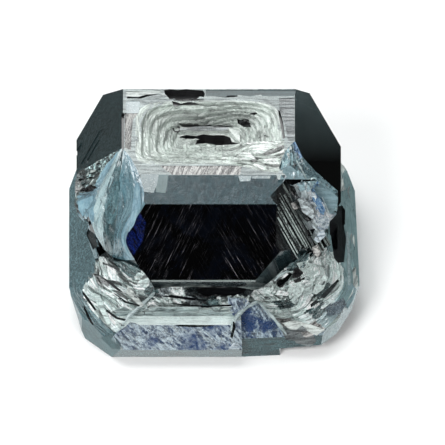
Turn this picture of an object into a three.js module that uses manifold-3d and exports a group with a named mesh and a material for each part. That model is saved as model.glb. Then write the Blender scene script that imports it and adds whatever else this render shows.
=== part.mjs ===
// Rough lab-grown diamond: a cuboctahedral block grown on a wider stepped skirt.
// Millimetres, +Z up, resting on its flat base; the front faces -Y.
import * as THREE from "three";
import { ConvexGeometry } from "three/addons/geometries/ConvexGeometry.js";
import { mergeVertices } from "three/addons/utils/BufferGeometryUtils.js";
import Module from "manifold-3d";

const wasm = await Module();
wasm.setup();

// Slopes of the crystal faces, in degrees from the horizontal.
const level = 0;
const bevelSlope = 25.24;
const dodecahedral = 45;
const octahedral = 54.74;
const upright = 90;
const skirtUndercut = 116;
const undercut = 180 - octahedral;
const downward = 180;

// Compass directions, in degrees about +Z from +X.
const right = 0;
const backRight = 45;
const back = 90;
const backLeft = 135;
const left = 180;
const frontLeft = -135;
const front = -90;
const frontRight = -45;

// Heights above the base.
const topHeight = 5.28;
const waistHeight = 1.7;
const skirtTop = 2.4;

// A crystal face looks in a compass direction, has a slope, and passes through the
// point at a reach from the block's axis in that direction, at a height.
const face = (azimuth, slope, reach, height) => ({ azimuth, slope, reach, height });

const blockFaces = [
  face(front, level, 0, topHeight),
  face(front, bevelSlope, 2.01, topHeight),
  face(front, octahedral, 2.93, 4.85),
  face(left, octahedral, 2.87, topHeight),
  face(right, octahedral, 2.8, topHeight),
  face(back, octahedral, 2.01, topHeight),
  face(frontLeft, dodecahedral, 3.155, topHeight),
  face(frontRight, dodecahedral, 3.18, topHeight),
  face(frontLeft, upright, 4.59, 0),
  face(frontRight, upright, 4.6, 0),
  face(-56, upright, 4.49, 0),
  face(backLeft, upright, 4.39, 0),
  face(backRight, upright, 4.09, 0),
  face(front, undercut, 4.4, 2.77),
  face(left, undercut, 4.41, 3.11),
  face(right, undercut, 4.32, 3.13),
  face(back, undercut, 3.5, 3.17),
  face(-154.5, 118, 4.61, 3.23),
  face(-25, 118, 4.5, 3.35),
  face(front, downward, 0, waistHeight),
];

const skirtFaces = [
  face(front, level, 0, skirtTop),
  face(front, octahedral, 5.04, 1.31),
  face(left, octahedral, 4.16, 1.78),
  face(2, octahedral, 4.32, 1.72),
  face(back, octahedral, 3.73, 1.78),
  face(front, skirtUndercut, 5.52, 0.62),
  face(left, skirtUndercut, 4.65, 1.09),
  face(2, skirtUndercut, 4.83, 0.99),
  face(back, skirtUndercut, 4.22, 1.09),
  face(frontLeft, upright, 5.99, 0),
  face(frontRight, upright, 6.13, 0),
  face(backLeft, upright, 4.82, 0),
  face(backRight, upright, 4.93, 0),
  face(157, upright, 4.88, 0),
  face(23, upright, 5.0, 0),
  face(front, downward, 0, 0),
];

// Skirt terraces: the reach of each contour in the eight directions, on the highest
// terrace and on the lowest. A higher sharpness squares the contour's corners.
const terraces = {
  count: 9,
  top: 2.25,
  step: 0.165,
  points: 72,
  sharpness: 12,
  directions: [right, backRight, back, backLeft, left, frontLeft, front, frontRight],
  highest: [3.56, 3.9, 2.8, 3.9, 3.7, 4.39, 3.45, 4.2],
  lowest: [5.3, 5.55, 4.62, 5.55, 5.35, 6.04, 6.2, 6.2],
};

// Hopper terraces that sink from the top face to the slot in its middle.
const hopper = {
  count: 6,
  step: 0.09,
  outer: { x0: -2.45, y0: -1.5, x1: 2.35, y1: 1.45, radius: 0.8 },
  inset: { x: 0.24, y: 0.17, radius: 0.1 },
};

// What is missing from the right half of the skirt's front, which stands further back:
// an outline in y and z, carried to the right and turned a little.
const setback = {
  outline: [
    [-4.29, 2.0],
    [-5.17, 0.75],
    [-5.26, 0],
    [-5.26, -0.5],
    [-7, -0.5],
    [-7, 2.0],
  ],
  start: 0.72,
  length: 6,
  turn: 3.5,
};

// The chip broken from the underside of the front right corner: a box and its tilt.
const chip = { x: 4.32, y: -4.6, z: -0.12, wide: 4, long: 5, high: 1, tilt: 3 };

// The dark slot at the bottom of the hopper, and the pits along the back edge.
const topPits = [
  { x: 0.0, y: 0.18, long: 0.98, wide: 0.16, deep: 0.55, floor: 4.75 },
  { x: -0.85, y: 1.82, long: 0.68, wide: 0.13, deep: 0.3, floor: topHeight },
  { x: 0.73, y: 1.66, long: 0.2, wide: 0.06, deep: 0.2, floor: topHeight },
  { x: 1.2, y: 0.35, long: 0.3, wide: 0.1, deep: 0.16, floor: 4.95 },
];

// Hollows in the skirt's upper terraces.
const skirtPits = [
  { x: 3.0, y: -3.5, long: 0.3, wide: 0.26, deep: 0.4, floor: 2.08 },
  { x: 2.38, y: -3.72, long: 0.34, wide: 0.2, deep: 0.3, floor: 2.0 },
  { x: 2.5, y: -4.35, long: 0.2, wide: 0.12, deep: 0.22, floor: 1.78 },
  { x: -2.15, y: -4.1, long: 0.22, wide: 0.26, deep: 0.3, floor: 1.9 },
  { x: -3.6, y: -3.0, long: 0.16, wide: 0.14, deep: 0.3, floor: 2.2 },
];

// Curved breaks in the front corners, each long down the slope that it faces.
const breaks = [
  { x: -3.2, y: -2.95, z: 4.35, long: 2.9, wide: 0.75, deep: 0.45, azimuth: -135 },
  { x: -4.3, y: -1.85, z: 3.7, long: 1.4, wide: 0.62, deep: 0.42, azimuth: -160 },
  { x: -3.75, y: -0.75, z: 4.25, long: 1.5, wide: 0.55, deep: 0.3, azimuth: -178 },
  { x: 3.6, y: -1.45, z: 4.35, long: 1.9, wide: 0.8, deep: 0.26, azimuth: -8 },
];

// Growth plates on the front right corner: ribs that run down its slope side by side.
const ribs = [
  { across: -0.48, start: 1.5, end: 2.85, proud: 0.16 },
  { across: -0.28, start: 1.25, end: 3.3, proud: 0.3 },
  { across: -0.08, start: 0.95, end: 3.15, proud: 0.2 },
  { across: 0.12, start: 0.65, end: 3.35, proud: 0.32 },
  { across: 0.32, start: 0.75, end: 3.0, proud: 0.18 },
  { across: 0.54, start: 0.45, end: 3.2, proud: 0.3 },
  { across: 0.76, start: 0.5, end: 2.7, proud: 0.2 },
];
const ribWidth = 0.12;
const ribRoot = 0.3;

// The sloping floor that the plates stand on, right of the black front face.
const ribFloor = { reach: 2.62, left: 2.18, length: 8, depth: 2 };

// How far cutters reach past the surface that they cut, and the closest two corners lie.
const overshoot = 0.5;
const tolerance = 1e-5;
const smallestEdge = 0.004;

const radians = THREE.MathUtils.degToRad;
const up = new THREE.Vector3(0, 0, 1);

// The direction that a slope faces, as a unit vector.
function facing(azimuth, slope) {
  const around = radians(azimuth);
  const tilt = radians(slope);
  return new THREE.Vector3(
    Math.sin(tilt) * Math.cos(around),
    Math.sin(tilt) * Math.sin(around),
    Math.cos(tilt),
  );
}

function facePlane({ azimuth, slope, reach, height }) {
  const out = facing(azimuth, upright).multiplyScalar(reach);
  out.z = height;
  return new THREE.Plane().setFromNormalAndCoplanarPoint(facing(azimuth, slope), out);
}

// The corner where three planes meet, or null where they have none.
function meetingPoint(a, b, c) {
  const bc = new THREE.Vector3().crossVectors(b.normal, c.normal);
  const ca = new THREE.Vector3().crossVectors(c.normal, a.normal);
  const ab = new THREE.Vector3().crossVectors(a.normal, b.normal);
  const spread = a.normal.dot(bc);
  if (Math.abs(spread) < tolerance) return null;
  return new THREE.Vector3()
    .addScaledVector(bc, -a.constant)
    .addScaledVector(ca, -b.constant)
    .addScaledVector(ab, -c.constant)
    .divideScalar(spread);
}

// A closed geometry as a solid that can be joined and cut.
function solidOf(geometry) {
  const bare = geometry.clone();
  bare.deleteAttribute("normal");
  bare.deleteAttribute("uv");
  const merged = mergeVertices(bare, tolerance);
  return new wasm.Manifold(
    new wasm.Mesh({
      numProp: 3,
      vertProperties: merged.attributes.position.array,
      triVerts: new Uint32Array(merged.index.array),
    }),
  );
}

// The convex block that a list of crystal faces encloses.
function facetedBlock(faces) {
  const planes = faces.map(facePlane);
  const corners = [];
  const keep = (corner) => {
    if (!corner || planes.some((plane) => plane.distanceToPoint(corner) > tolerance)) return;
    if (!corners.some((other) => other.distanceTo(corner) < smallestEdge)) corners.push(corner);
  };
  for (let i = 0; i < planes.length; i += 1) {
    for (let j = i + 1; j < planes.length; j += 1) {
      for (let k = j + 1; k < planes.length; k += 1) keep(meetingPoint(planes[i], planes[j], planes[k]));
    }
  }
  return solidOf(new ConvexGeometry(corners));
}

// A prism on an outline drawn in plan, from one height to another.
function prism(points, low, high) {
  const geometry = new THREE.ExtrudeGeometry(new THREE.Shape(points), {
    depth: high - low,
    bevelEnabled: false,
  });
  geometry.translate(0, 0, low);
  return solidOf(geometry);
}

// A geometry drawn along x, y and z, turned so that they follow three directions.
function turned(geometry, along, across, out, centre) {
  const frame = new THREE.Matrix4().makeBasis(along, across, out).setPosition(centre);
  return solidOf(geometry.applyMatrix4(frame));
}

// A rounded polygon that reaches a given distance in each of eight directions.
function skirtContour(share) {
  return Array.from({ length: terraces.points }, (_, i) => {
    const angle = (2 * Math.PI * i) / terraces.points;
    const sum = terraces.directions.reduce((total, direction, k) => {
      const reach = THREE.MathUtils.lerp(terraces.highest[k], terraces.lowest[k], share);
      const along = Math.max(0, Math.cos(angle - radians(direction))) / reach;
      return total + along ** terraces.sharpness;
    }, 0);
    const radius = sum ** (-1 / terraces.sharpness);
    return new THREE.Vector2(radius * Math.cos(angle), radius * Math.sin(angle));
  });
}

function frontSetback() {
  const outline = new THREE.Shape(setback.outline.map(([y, z]) => new THREE.Vector2(y, z)));
  const bar = new THREE.ExtrudeGeometry(outline, { depth: setback.length, bevelEnabled: false });
  const along = facing(right + setback.turn, upright);
  const inward = facing(back + setback.turn, upright);
  return turned(bar, inward, up, along, new THREE.Vector3(setback.start, 0, 0));
}

function cornerChip() {
  const box = new THREE.BoxGeometry(chip.wide, chip.long, chip.high);
  const along = facing(right, upright - chip.tilt);
  const inward = facing(back, upright);
  const out = new THREE.Vector3().crossVectors(along, inward);
  return turned(box, along, inward, out, new THREE.Vector3(chip.x, chip.y, chip.z));
}

function skirt() {
  let stack = null;
  for (let k = 0; k < terraces.count; k += 1) {
    const contour = skirtContour(k / (terraces.count - 1));
    const slab = prism(contour, -overshoot, terraces.top - k * terraces.step);
    stack = stack ? stack.add(slab) : slab;
  }
  let solid = facetedBlock(skirtFaces).intersect(stack);
  solid = solid.subtract(frontSetback()).subtract(cornerChip());
  skirtPits.forEach((hollow) => {
    solid = solid.subtract(pit(hollow));
  });
  return solid;
}

function roundedRectangle(x0, y0, x1, y1, radius) {
  const shape = new THREE.Shape();
  shape.moveTo(x0 + radius, y0);
  shape.lineTo(x1 - radius, y0);
  shape.absarc(x1 - radius, y0 + radius, radius, -Math.PI / 2, 0);
  shape.lineTo(x1, y1 - radius);
  shape.absarc(x1 - radius, y1 - radius, radius, 0, Math.PI / 2);
  shape.lineTo(x0 + radius, y1);
  shape.absarc(x0 + radius, y1 - radius, radius, Math.PI / 2, Math.PI);
  shape.lineTo(x0, y0 + radius);
  shape.absarc(x0 + radius, y0 + radius, radius, Math.PI, 1.5 * Math.PI);
  return shape.getPoints(7);
}

// The growth terraces of the top face, each set inside the one above it.
function sinkHopper(block) {
  const { outer, inset } = hopper;
  let carved = block;
  for (let k = 0; k < hopper.count; k += 1) {
    const outline = roundedRectangle(
      outer.x0 + k * inset.x,
      outer.y0 + k * inset.y,
      outer.x1 - k * inset.x,
      outer.y1 - k * inset.y,
      outer.radius - k * inset.radius,
    );
    const floor = topHeight - (k + 1) * hopper.step;
    carved = carved.subtract(prism(outline, floor, topHeight + overshoot));
  }
  return carved;
}

function pit({ x, y, long, wide, deep, floor }) {
  const bowl = new THREE.SphereGeometry(1, 16, 10);
  bowl.scale(long, wide, deep);
  bowl.translate(x, y, floor);
  return solidOf(bowl);
}

function cornerBreak({ x, y, z, long, wide, deep, azimuth }) {
  const shell = new THREE.SphereGeometry(1, 24, 16);
  shell.scale(long, wide, deep);
  const down = facing(azimuth, dodecahedral + upright);
  const out = facing(azimuth, dodecahedral);
  const across = new THREE.Vector3().crossVectors(out, down);
  return turned(shell, down, across, out, new THREE.Vector3(x, y, z));
}

const ribDown = facing(frontRight, dodecahedral + upright);
const ribOut = facing(frontRight, dodecahedral);
const ribSide = new THREE.Vector3().crossVectors(ribOut, ribDown);
const ribCrest = facing(frontRight, upright).multiplyScalar(ribFloor.reach).setZ(topHeight);

function ribRecess() {
  const { length, depth, left: edge } = ribFloor;
  const slab = new THREE.BoxGeometry(length, length, depth);
  const above = ribCrest.clone().addScaledVector(ribOut, depth / 2);
  const side = new THREE.BoxGeometry(length, length, length);
  side.translate(edge + length / 2, -length / 2, topHeight);
  return turned(slab, ribDown, ribSide, ribOut, above).intersect(solidOf(side));
}

function plate({ across, start, end, proud }) {
  const centre = ribCrest.clone();
  centre.addScaledVector(ribDown, (start + end) / 2);
  centre.addScaledVector(ribSide, across);
  centre.addScaledVector(ribOut, (proud - ribRoot) / 2);
  const bar = new THREE.BoxGeometry(end - start, ribWidth, proud + ribRoot);
  return turned(bar, ribDown, ribSide, ribOut, centre);
}

function block() {
  let solid = sinkHopper(facetedBlock(blockFaces));
  topPits.forEach((hollow) => {
    solid = solid.subtract(pit(hollow));
  });
  breaks.forEach((hollow) => {
    solid = solid.subtract(cornerBreak(hollow));
  });
  solid = solid.subtract(ribRecess());
  ribs.forEach((bar) => {
    solid = solid.add(plate(bar));
  });
  return solid;
}

const crystal = block().add(skirt()).simplify(smallestEdge).getMesh();
const geometry = new THREE.BufferGeometry();
geometry.setAttribute("position", new THREE.BufferAttribute(crystal.vertProperties, 3));
geometry.setIndex(new THREE.BufferAttribute(crystal.triVerts, 1));
geometry.computeBoundingBox();
const { min, max } = geometry.boundingBox;
geometry.translate(-(min.x + max.x) / 2, -(min.y + max.y) / 2, -min.z);

const diamond = new THREE.Mesh(
  geometry,
  new THREE.MeshStandardMaterial({ color: 0x6f8489, roughness: 0.15, metalness: 0 }),
);
diamond.name = "diamond_crystal";

const part = new THREE.Group();
part.add(diamond);

export default part;
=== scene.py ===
import itertools

import bmesh
import bpy
import numpy as np
from mathutils import Matrix, Vector


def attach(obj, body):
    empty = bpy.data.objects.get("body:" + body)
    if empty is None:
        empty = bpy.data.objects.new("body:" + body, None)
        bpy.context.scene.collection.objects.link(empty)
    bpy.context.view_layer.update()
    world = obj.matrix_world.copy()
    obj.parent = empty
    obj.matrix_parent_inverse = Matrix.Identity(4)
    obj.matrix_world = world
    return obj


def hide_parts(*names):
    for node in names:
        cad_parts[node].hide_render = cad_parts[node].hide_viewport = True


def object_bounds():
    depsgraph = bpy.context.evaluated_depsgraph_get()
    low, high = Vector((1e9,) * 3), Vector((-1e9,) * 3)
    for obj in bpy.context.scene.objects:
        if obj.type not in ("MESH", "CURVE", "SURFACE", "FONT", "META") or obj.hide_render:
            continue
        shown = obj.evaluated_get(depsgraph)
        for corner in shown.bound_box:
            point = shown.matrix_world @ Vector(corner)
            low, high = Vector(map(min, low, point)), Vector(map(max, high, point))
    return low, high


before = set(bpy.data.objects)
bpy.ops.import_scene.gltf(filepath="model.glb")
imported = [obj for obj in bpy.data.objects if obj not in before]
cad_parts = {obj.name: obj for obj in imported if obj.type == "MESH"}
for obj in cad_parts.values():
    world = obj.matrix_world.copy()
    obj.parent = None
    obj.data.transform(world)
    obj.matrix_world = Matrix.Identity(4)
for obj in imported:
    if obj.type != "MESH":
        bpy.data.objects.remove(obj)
cadBox = [list(corner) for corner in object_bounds()]
print("frame loaded")

# Everything below is worked out in millimetres about the crystal's axis; this is where
# that axis stands in the frame.
axisPlace = np.array([-0.140, 0.652, 0.0])
millimetre = 0.001

right, backRight, back, backLeft = 0, 45, 90, 135
left, frontLeft, front, frontRight = 180, -135, -90, -45
bevel, dodecahedral, octahedral, upright, downward = 25.24, 45, 54.74, 90, 180
axisFoot, topHeight = np.zeros(3), 5.28
eastward, northward, upward = np.array([1.0, 0, 0]), np.array([0, 1.0, 0]), np.array([0, 0, 1.0])

# How each kind of surface looks: tint and fleck are its two colours, share is how much
# of it is fleck, clear how much light goes in, rough its roughness, relief the height
# of its grain, cracks how dark its cracks are, along the way that the grain runs and fine
# how short it is; cloud and scratch bring in the blue clouds and the bright scratches.
# Shade fade: painted shade, darker down and to the front; bite is how hard its two colours part.
def look(tint, fleck, share, clear, rough, relief, cracks=0.0, along=(1, 0, 0), fine=1.0, cloud=0.0,
         scratch=0.0, shadeFade=0.0, bite=6.0):
    return dict(tint=tint, fleck=fleck, share=share, clear=clear, rough=rough, relief=relief,
                cracks=cracks, along=along,
                fine=fine, cloud=cloud, scratch=scratch, shadeFade=shadeFade, bite=bite)


looks = {
    "polished": look((0.42, 0.52, 0.54), (0.3, 0.38, 0.4), 0.2, 0.85, 0.08, 0.02, along=(0, 0, 1)),
    "leftFace": look((0.05, 0.1, 0.11), (0.0, 0.01, 0.012), 0.45, 0.6, 0.12, 0.12, 0.3,
                     along=(0.5, 0.2, -0.8), fine=2),
    # The right face is darkened downwards and to the front by painted shade.
    "rightFace": look((0.19, 0.26, 0.27), (0.14, 0.2, 0.21), 0.3, 0.6, 0.1, 0.02, along=(0, 1, 0),
                      shadeFade=1.0),
    # Lighter than the left face: partly its own tone, partly painted light standing in for light let
    # through the thin rim.
    "rim": look((0.19, 0.31, 0.34), (0.05, 0.11, 0.13), 0.4, 0.35, 0.14, 0.12, 0.35, along=(0.3, 1, -0.8),
                fine=2),
    "mirror": look((0.0, 0.0, 0.002), (0.0, 0.0, 0.0), 0.5, 0.93, 0.03, 0.0, cloud=0.3, scratch=1.0),
    "deepBlue": look((0.005, 0.02, 0.17), (0.0, 0.0, 0.004), 0.62, 0.3, 0.12, 0.15, 0.6, (0.5, -0.6, -0.6),
                     scratch=0.1),
    "bevel": look((0.06, 0.13, 0.155), (0.008, 0.035, 0.05), 0.45, 0.4, 0.16, 0.1, 0.35, along=(0, 1, 0),
                  fine=2),
    "strip": look((0.22, 0.29, 0.27), (0.1, 0.13, 0.13), 0.3, 0.5, 0.2, 0.1),
    "darkFacet": look((0.06, 0.11, 0.125), (0.015, 0.04, 0.05), 0.4, 0.7, 0.15, 0.1, 0.3),
    "topPlane": look((0.43, 0.52, 0.51), (0.09, 0.13, 0.14), 0.42, 0.3, 0.3, 0.4, 0.6),
    "tread": look((0.6, 0.68, 0.63), (0.3, 0.36, 0.33), 0.33, 0.1, 0.35, 0.5, 0.6),
    "riser": look((0.66, 0.71, 0.67), (0.3, 0.34, 0.32), 0.35, 0.2, 0.35, 0.3, 0.5),
    "skirtTread": look((0.68, 0.76, 0.72), (0.26, 0.33, 0.33), 0.4, 0.15, 0.32, 0.4, 0.8),
    "skirtRiser": look((0.36, 0.42, 0.42), (0.08, 0.11, 0.12), 0.4, 0.25, 0.3, 0.3, 0.5),
    "petal": look((0.1, 0.22, 0.27), (0.26, 0.42, 0.48), 0.34, 0.3, 0.16, 0.1, 0.3, (-0.35, -0.5, -0.8),
                  bite=8),
    "petalLight": look((0.2, 0.37, 0.46), (0.36, 0.56, 0.64), 0.33, 0.35, 0.16, 0.06, 0.2,
                       (-0.1, -0.6, -0.8)),
    "petalWhite": look((0.5, 0.66, 0.68), (0.28, 0.42, 0.46), 0.4, 0.25, 0.25, 0.15, 0.4,
                       (-0.45, -0.4, -0.8)),
    "petalDark": look((0.07, 0.15, 0.17), (0.2, 0.33, 0.36), 0.33, 0.3, 0.2, 0.12, 0.4,
                      (-0.2, -0.55, -0.8), bite=8),
    "broken": look((0.4, 0.56, 0.56), (0.004, 0.016, 0.02), 0.55, 0.0, 0.2, 0.9, 0.8, (-0.8, -0.3, -0.5),
                   fine=7, bite=14),
    "shard": look((0.76, 0.9, 0.87), (0.26, 0.35, 0.35), 0.3, 0.12, 0.3, 0.4, 0.7, bite=7),
    "darkShard": look((0.13, 0.21, 0.215), (0.035, 0.055, 0.06), 0.4, 0.35, 0.25, 0.4, 0.6),
    "ridge": look((0.56, 0.68, 0.68), (0.3, 0.4, 0.42), 0.4, 0.3, 0.4, 0.3, 0.4),
    "greyCrumbs": look((0.5, 0.58, 0.6), (0.08, 0.1, 0.11), 0.42, 0.2, 0.3, 0.5, 0.8, fine=3),
    # Very dark, for undercuts, pockets and hollows: painted shade.
    "hollow": look((0.02, 0.03, 0.034), (0.08, 0.1, 0.105), 0.3, 0.5, 0.15, 0.3, 0.3),
    "paleTeal": look((0.4, 0.58, 0.63), (0.24, 0.38, 0.43), 0.35, 0.4, 0.16, 0.15, 0.3),
    "teal": look((0.22, 0.38, 0.43), (0.42, 0.6, 0.66), 0.3, 0.5, 0.14, 0.15, 0.3),
    "blueChip": look((0.08, 0.2, 0.4), (0.4, 0.6, 0.76), 0.3, 0.4, 0.14, 0.2, 0.4),
    "spark": look((0.78, 0.88, 0.93), (0.22, 0.3, 0.38), 0.42, 0.25, 0.15, 0.5, 0.6),
    "chips": look((0.34, 0.5, 0.56), (0.68, 0.84, 0.9), 0.35, 0.35, 0.14, 0.25, 0.6, (0.5, -0.4, -0.7)),
    "crumbs": look((0.78, 0.91, 0.88), (0.34, 0.43, 0.42), 0.33, 0.15, 0.3, 0.5, 0.6, (0.5, -0.5, 0.1),
                   fine=4),
    "plate": look((0.54, 0.65, 0.62), (0.02, 0.024, 0.026), 0.42, 0.3, 0.2, 0.4, 0.7, (0.5, -0.52, -0.69),
                  bite=10),
    # Near black between the growth plates: painted shade in the gaps.
    "plateFloor": look((0.005, 0.007, 0.009), (0.08, 0.1, 0.1), 0.18, 0.6, 0.12, 0.3, 0.5,
                       (0.5, -0.5, -0.7)),
    # Lighter still: partly its own tone, partly painted light standing in for light let through the thin
    # right rim.
    "rimRight": look((0.44, 0.66, 0.68), (0.28, 0.46, 0.49), 0.35, 0.45, 0.14, 0.1, 0.2, along=(0, 1, 0),
                     fine=2),
    "rimLow": look((0.06, 0.16, 0.18), (0.015, 0.05, 0.06), 0.42, 0.3, 0.25, 0.15, 0.3, along=(1, 0, 0),
                   fine=2),
    "rimShade": look((0.07, 0.18, 0.2), (0.02, 0.08, 0.1), 0.42, 0.2, 0.3, 0.12, 0.3,
                     along=(0.6, -0.6, -0.5), fine=2),
    # Near black, for hollows that stand in for shadow: painted shadow.
    "gloom": look((0.003, 0.003, 0.005), (0.03, 0.034, 0.038), 0.15, 0.3, 0.05, 0.1),
    "dusk": look((0.13, 0.18, 0.22), (0.34, 0.42, 0.46), 0.35, 0.4, 0.25, 0.3, 0.5, (0.6, 0.6, 0.4)),
    "cloudy": look((0.5, 0.64, 0.66), (0.24, 0.34, 0.37), 0.45, 0.35, 0.2, 0.12, along=(0.5, -0.5, 0.7),
                   fine=3),
    "ledge": look((0.8, 0.9, 0.88), (0.5, 0.6, 0.6), 0.3, 0.1, 0.3, 0.3, 0.3, fine=2),
    "ledgeGrey": look((0.5, 0.61, 0.6), (0.14, 0.2, 0.21), 0.38, 0.15, 0.3, 0.4, 0.7, fine=1.5),
    "blueFacet": look((0.56, 0.68, 0.74), (0.035, 0.065, 0.13), 0.38, 0.2, 0.28, 0.7, 0.6,
                      (0.75, -0.5, -0.4), fine=3, cloud=1.2, bite=10),
    "deepFacet": look((0.5, 0.64, 0.72), (0.012, 0.04, 0.1), 0.42, 0.2, 0.28, 0.7, 0.6, (0.5, -0.5, -0.6),
                      fine=4, cloud=2.6, bite=12),
    # Near black for pits, slots and grooves: painted shade in them.
    "pit": look((0.004, 0.004, 0.006), (0.03, 0.03, 0.03), 0.1, 0.3, 0.35, 0.3),
    "brownHatch": look((0.34, 0.34, 0.32), (0.04, 0.04, 0.04), 0.42, 0.2, 0.4, 0.6, 0.5, (0.2, 1, 0),
                       bite=14),
    "greyHatch": look((0.28, 0.33, 0.34), (0.03, 0.04, 0.045), 0.48, 0.3, 0.3, 0.6, 0.6, bite=9),
    "pinkHatch": look((0.52, 0.52, 0.5), (0.05, 0.045, 0.045), 0.4, 0.1, 0.4, 0.5, 0.7, (0.3, 1, 0),
                      fine=1.2, bite=15),
    "paleBlue": look((0.42, 0.55, 0.62), (0.7, 0.8, 0.85), 0.4, 0.3, 0.2, 0.2, 0.4, (0.1, 0.5, -1)),
    "palePatch": look((0.36, 0.44, 0.46), (0.52, 0.6, 0.61), 0.4, 0.3, 0.25, 0.1, 0.1, (0, 1, 0), bite=3),
    "tealPatch": look((0.21, 0.31, 0.32), (0.29, 0.39, 0.4), 0.4, 0.4, 0.22, 0.1, 0.1, (0, 1, 0), bite=3),
    "shaded": look((0.035, 0.085, 0.095), (0.01, 0.03, 0.035), 0.4, 0.2, 0.6, 0.1, 0.3),
    "white": look((0.68, 0.74, 0.71), (0.3, 0.35, 0.34), 0.35, 0.1, 0.4, 0.5, 0.6),
    "base": look((0.5, 0.6, 0.6), (0.35, 0.42, 0.42), 0.4, 1.0, 0.6, 0.6),
}
lookNames = list(looks)


# The unit vector that a slope faces: sine of the slope outwards, cosine upwards.
def facing(azimuth, slope):
    around, tilt = np.radians(azimuth), np.radians(slope)
    return np.array([np.sin(tilt) * np.cos(around), np.sin(tilt) * np.sin(around), np.cos(tilt)])


# A sloping plane's own axes: across it, down it and out of it, from a point at a reach and height.
def slopeFrame(azimuth, slope, reach, height):
    place = facing(azimuth, upright) * reach + np.array([0, 0, height])
    return place, facing(azimuth + 90, upright), facing(azimuth, slope + 90), facing(azimuth, slope)


# Puts corners and faces into a mesh, turned right side out, with a look and a shade on each face.
# Flow, where it is given, holds each corner's place in a grain that bends with the surface.
def makeSolid(name, corners, faces, look, shade=1.0, flow=None):
    mesh = bpy.data.meshes.new(name)
    mesh.from_pydata(np.asarray(corners, float).tolist(), [], [list(face) for face in faces])
    mesh.validate()
    for key, value in (("look", look), ("shade", shade)):
        layer = mesh.attributes.new(key, "FLOAT", "FACE")
        layer.data.foreach_set("value", np.broadcast_to(np.asarray(value, float), len(faces)).copy())
    if flow is not None:
        owners = np.empty(len(mesh.loops), np.int32)
        mesh.loops.foreach_get("vertex_index", owners)
        layer = mesh.attributes.new("flow", "FLOAT_VECTOR", "CORNER")
        layer.data.foreach_set("vector", np.asarray(flow, np.float32)[owners].ravel())
    solid = bmesh.new()
    solid.from_mesh(mesh)
    if solid.calc_volume(signed=True) < 0:
        bmesh.ops.reverse_faces(solid, faces=solid.faces)
        solid.to_mesh(mesh)
    solid.free()
    made = bpy.data.objects.new(name, mesh)
    bpy.context.scene.collection.objects.link(made)
    return made


# Closed rings of points stacked from end to end, joined band by band and capped.
def ringSolid(name, rings, looksByBand, shadesByBand=None):
    rings = np.asarray(rings, float)
    bands, points = rings.shape[0] - 1, rings.shape[1]
    index = np.arange(rings.shape[0] * points).reshape(-1, points)
    onward = np.roll(index, -1, 1)
    quads = np.stack([index[:-1], onward[:-1], onward[1:], index[1:]], -1).reshape(-1, 4)
    faces = quads.tolist() + [index[0][::-1].tolist(), index[-1].tolist()]
    named = [lookNames.index(look) for look in looksByBand]
    look = np.concatenate([np.repeat(named, points), [named[0], named[-1]]])
    shades = np.ones((bands, points)) if shadesByBand is None else np.asarray(shadesByBand)
    shades = np.broadcast_to(shades.reshape(bands, -1), (bands, points))
    shade = np.concatenate([shades.reshape(-1), [shades[0].mean(), shades[-1].mean()]])
    return makeSolid(name, rings.reshape(-1, 3), faces, look, shade)


# An outline drawn in a frame's first two directions, carried along the third.
def prismSolid(name, outline, place, along, across, out, low, high, look, floor=None, shade=1.0):
    outline = np.asarray(outline, float)
    flat = place + outline[:, :1] * along + outline[:, 1:] * across
    sides = look if isinstance(look, list) else [look] * len(outline)
    points = len(outline)
    corners = np.vstack([flat + out * low, flat + out * high])
    ahead = (np.arange(points) + 1) % points
    quads = np.stack([np.arange(points), ahead, ahead + points, np.arange(points) + points], -1)
    faces = quads.tolist() + [list(range(points))[::-1], list(range(points, 2 * points))]
    named = [lookNames.index(side) for side in sides]
    ends = [lookNames.index(floor) if floor else named[0]] * 2
    return makeSolid(name, corners, faces, np.array(named + ends), shade)


# The convex solid inside a list of crystal faces: corners are where three planes meet
# on or inside all the others.
def facetSolid(name, faces):
    out = np.array([facing(azimuth, slope) for azimuth, slope, *rest in faces])
    on = np.array([slopeFrame(*face[:4])[0] for face in faces])
    reach = (out * on).sum(1)
    triples = np.array(list(itertools.combinations(range(len(faces)), 3)))
    planes = out[triples]
    solvable = np.abs(np.linalg.det(planes)) > 1e-5
    points = np.linalg.solve(planes[solvable], reach[triples[solvable]][..., None])[..., 0]
    points = points[(points @ out.T - reach < 1e-5).all(1)]
    points = points[np.unique(np.round(points, 3), axis=0, return_index=True)[1]]
    hull = bmesh.new()
    for point in points:
        hull.verts.new(point)
    bmesh.ops.convex_hull(hull, input=hull.verts)
    hull.verts.index_update()
    corners = np.array([list(corner.co) for corner in hull.verts])
    shell = np.array([[corner.index for corner in face.verts] for face in hull.faces])
    hull.free()
    first, second, third = (corners[shell[:, k]] for k in range(3))
    normals = np.cross(second - first, third - first)
    normals /= np.linalg.norm(normals, axis=1)[:, None] + 1e-12
    nearest = (normals @ out.T).argmax(1)
    look = np.array([lookNames.index(face[4]) for face in faces])[nearest]
    return makeSolid(name, corners, shell.tolist(), look)


# Running shares from 0 to 1 across the terraces: each terrace's width is a random value
# plus sines of the angle with phases of their own, kept above nothing, then added up.
def terraceShares(count, angles, seed, waves, uneven):
    dice = np.random.default_rng(seed)
    widths = dice.uniform(1 - uneven, 1 + uneven, (count, 1)) * np.ones((1, len(angles)))
    for wave, strength in waves:
        widths = widths + strength * np.sin(wave * angles + dice.uniform(0, 2 * np.pi, (count, 1)))
    total = np.cumsum(np.maximum(widths, 0.04), 0)
    return np.vstack([np.zeros((1, len(angles))), total]) / total[-1]


# Short sines round a ring, added up with phases of their own, for crumbled edges.
def crumble(angles, rows, seed, waves):
    dice = np.random.default_rng(seed)
    ripple = np.zeros((rows, len(angles)))
    for wave, strength in waves:
        ripple += strength * np.sin(wave * angles + dice.uniform(0, 2 * np.pi, (rows, 1)))
    return ripple


# A number from 0 to 1 for each whole-numbered cell, from a scrambled sine.
def cellNumber(cells, key):
    mixed = np.sin(cells[..., 0] * 127.1 + cells[..., 1] * 311.7 + key * 74.7) * 43758.5453
    return mixed - np.floor(mixed)


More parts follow.
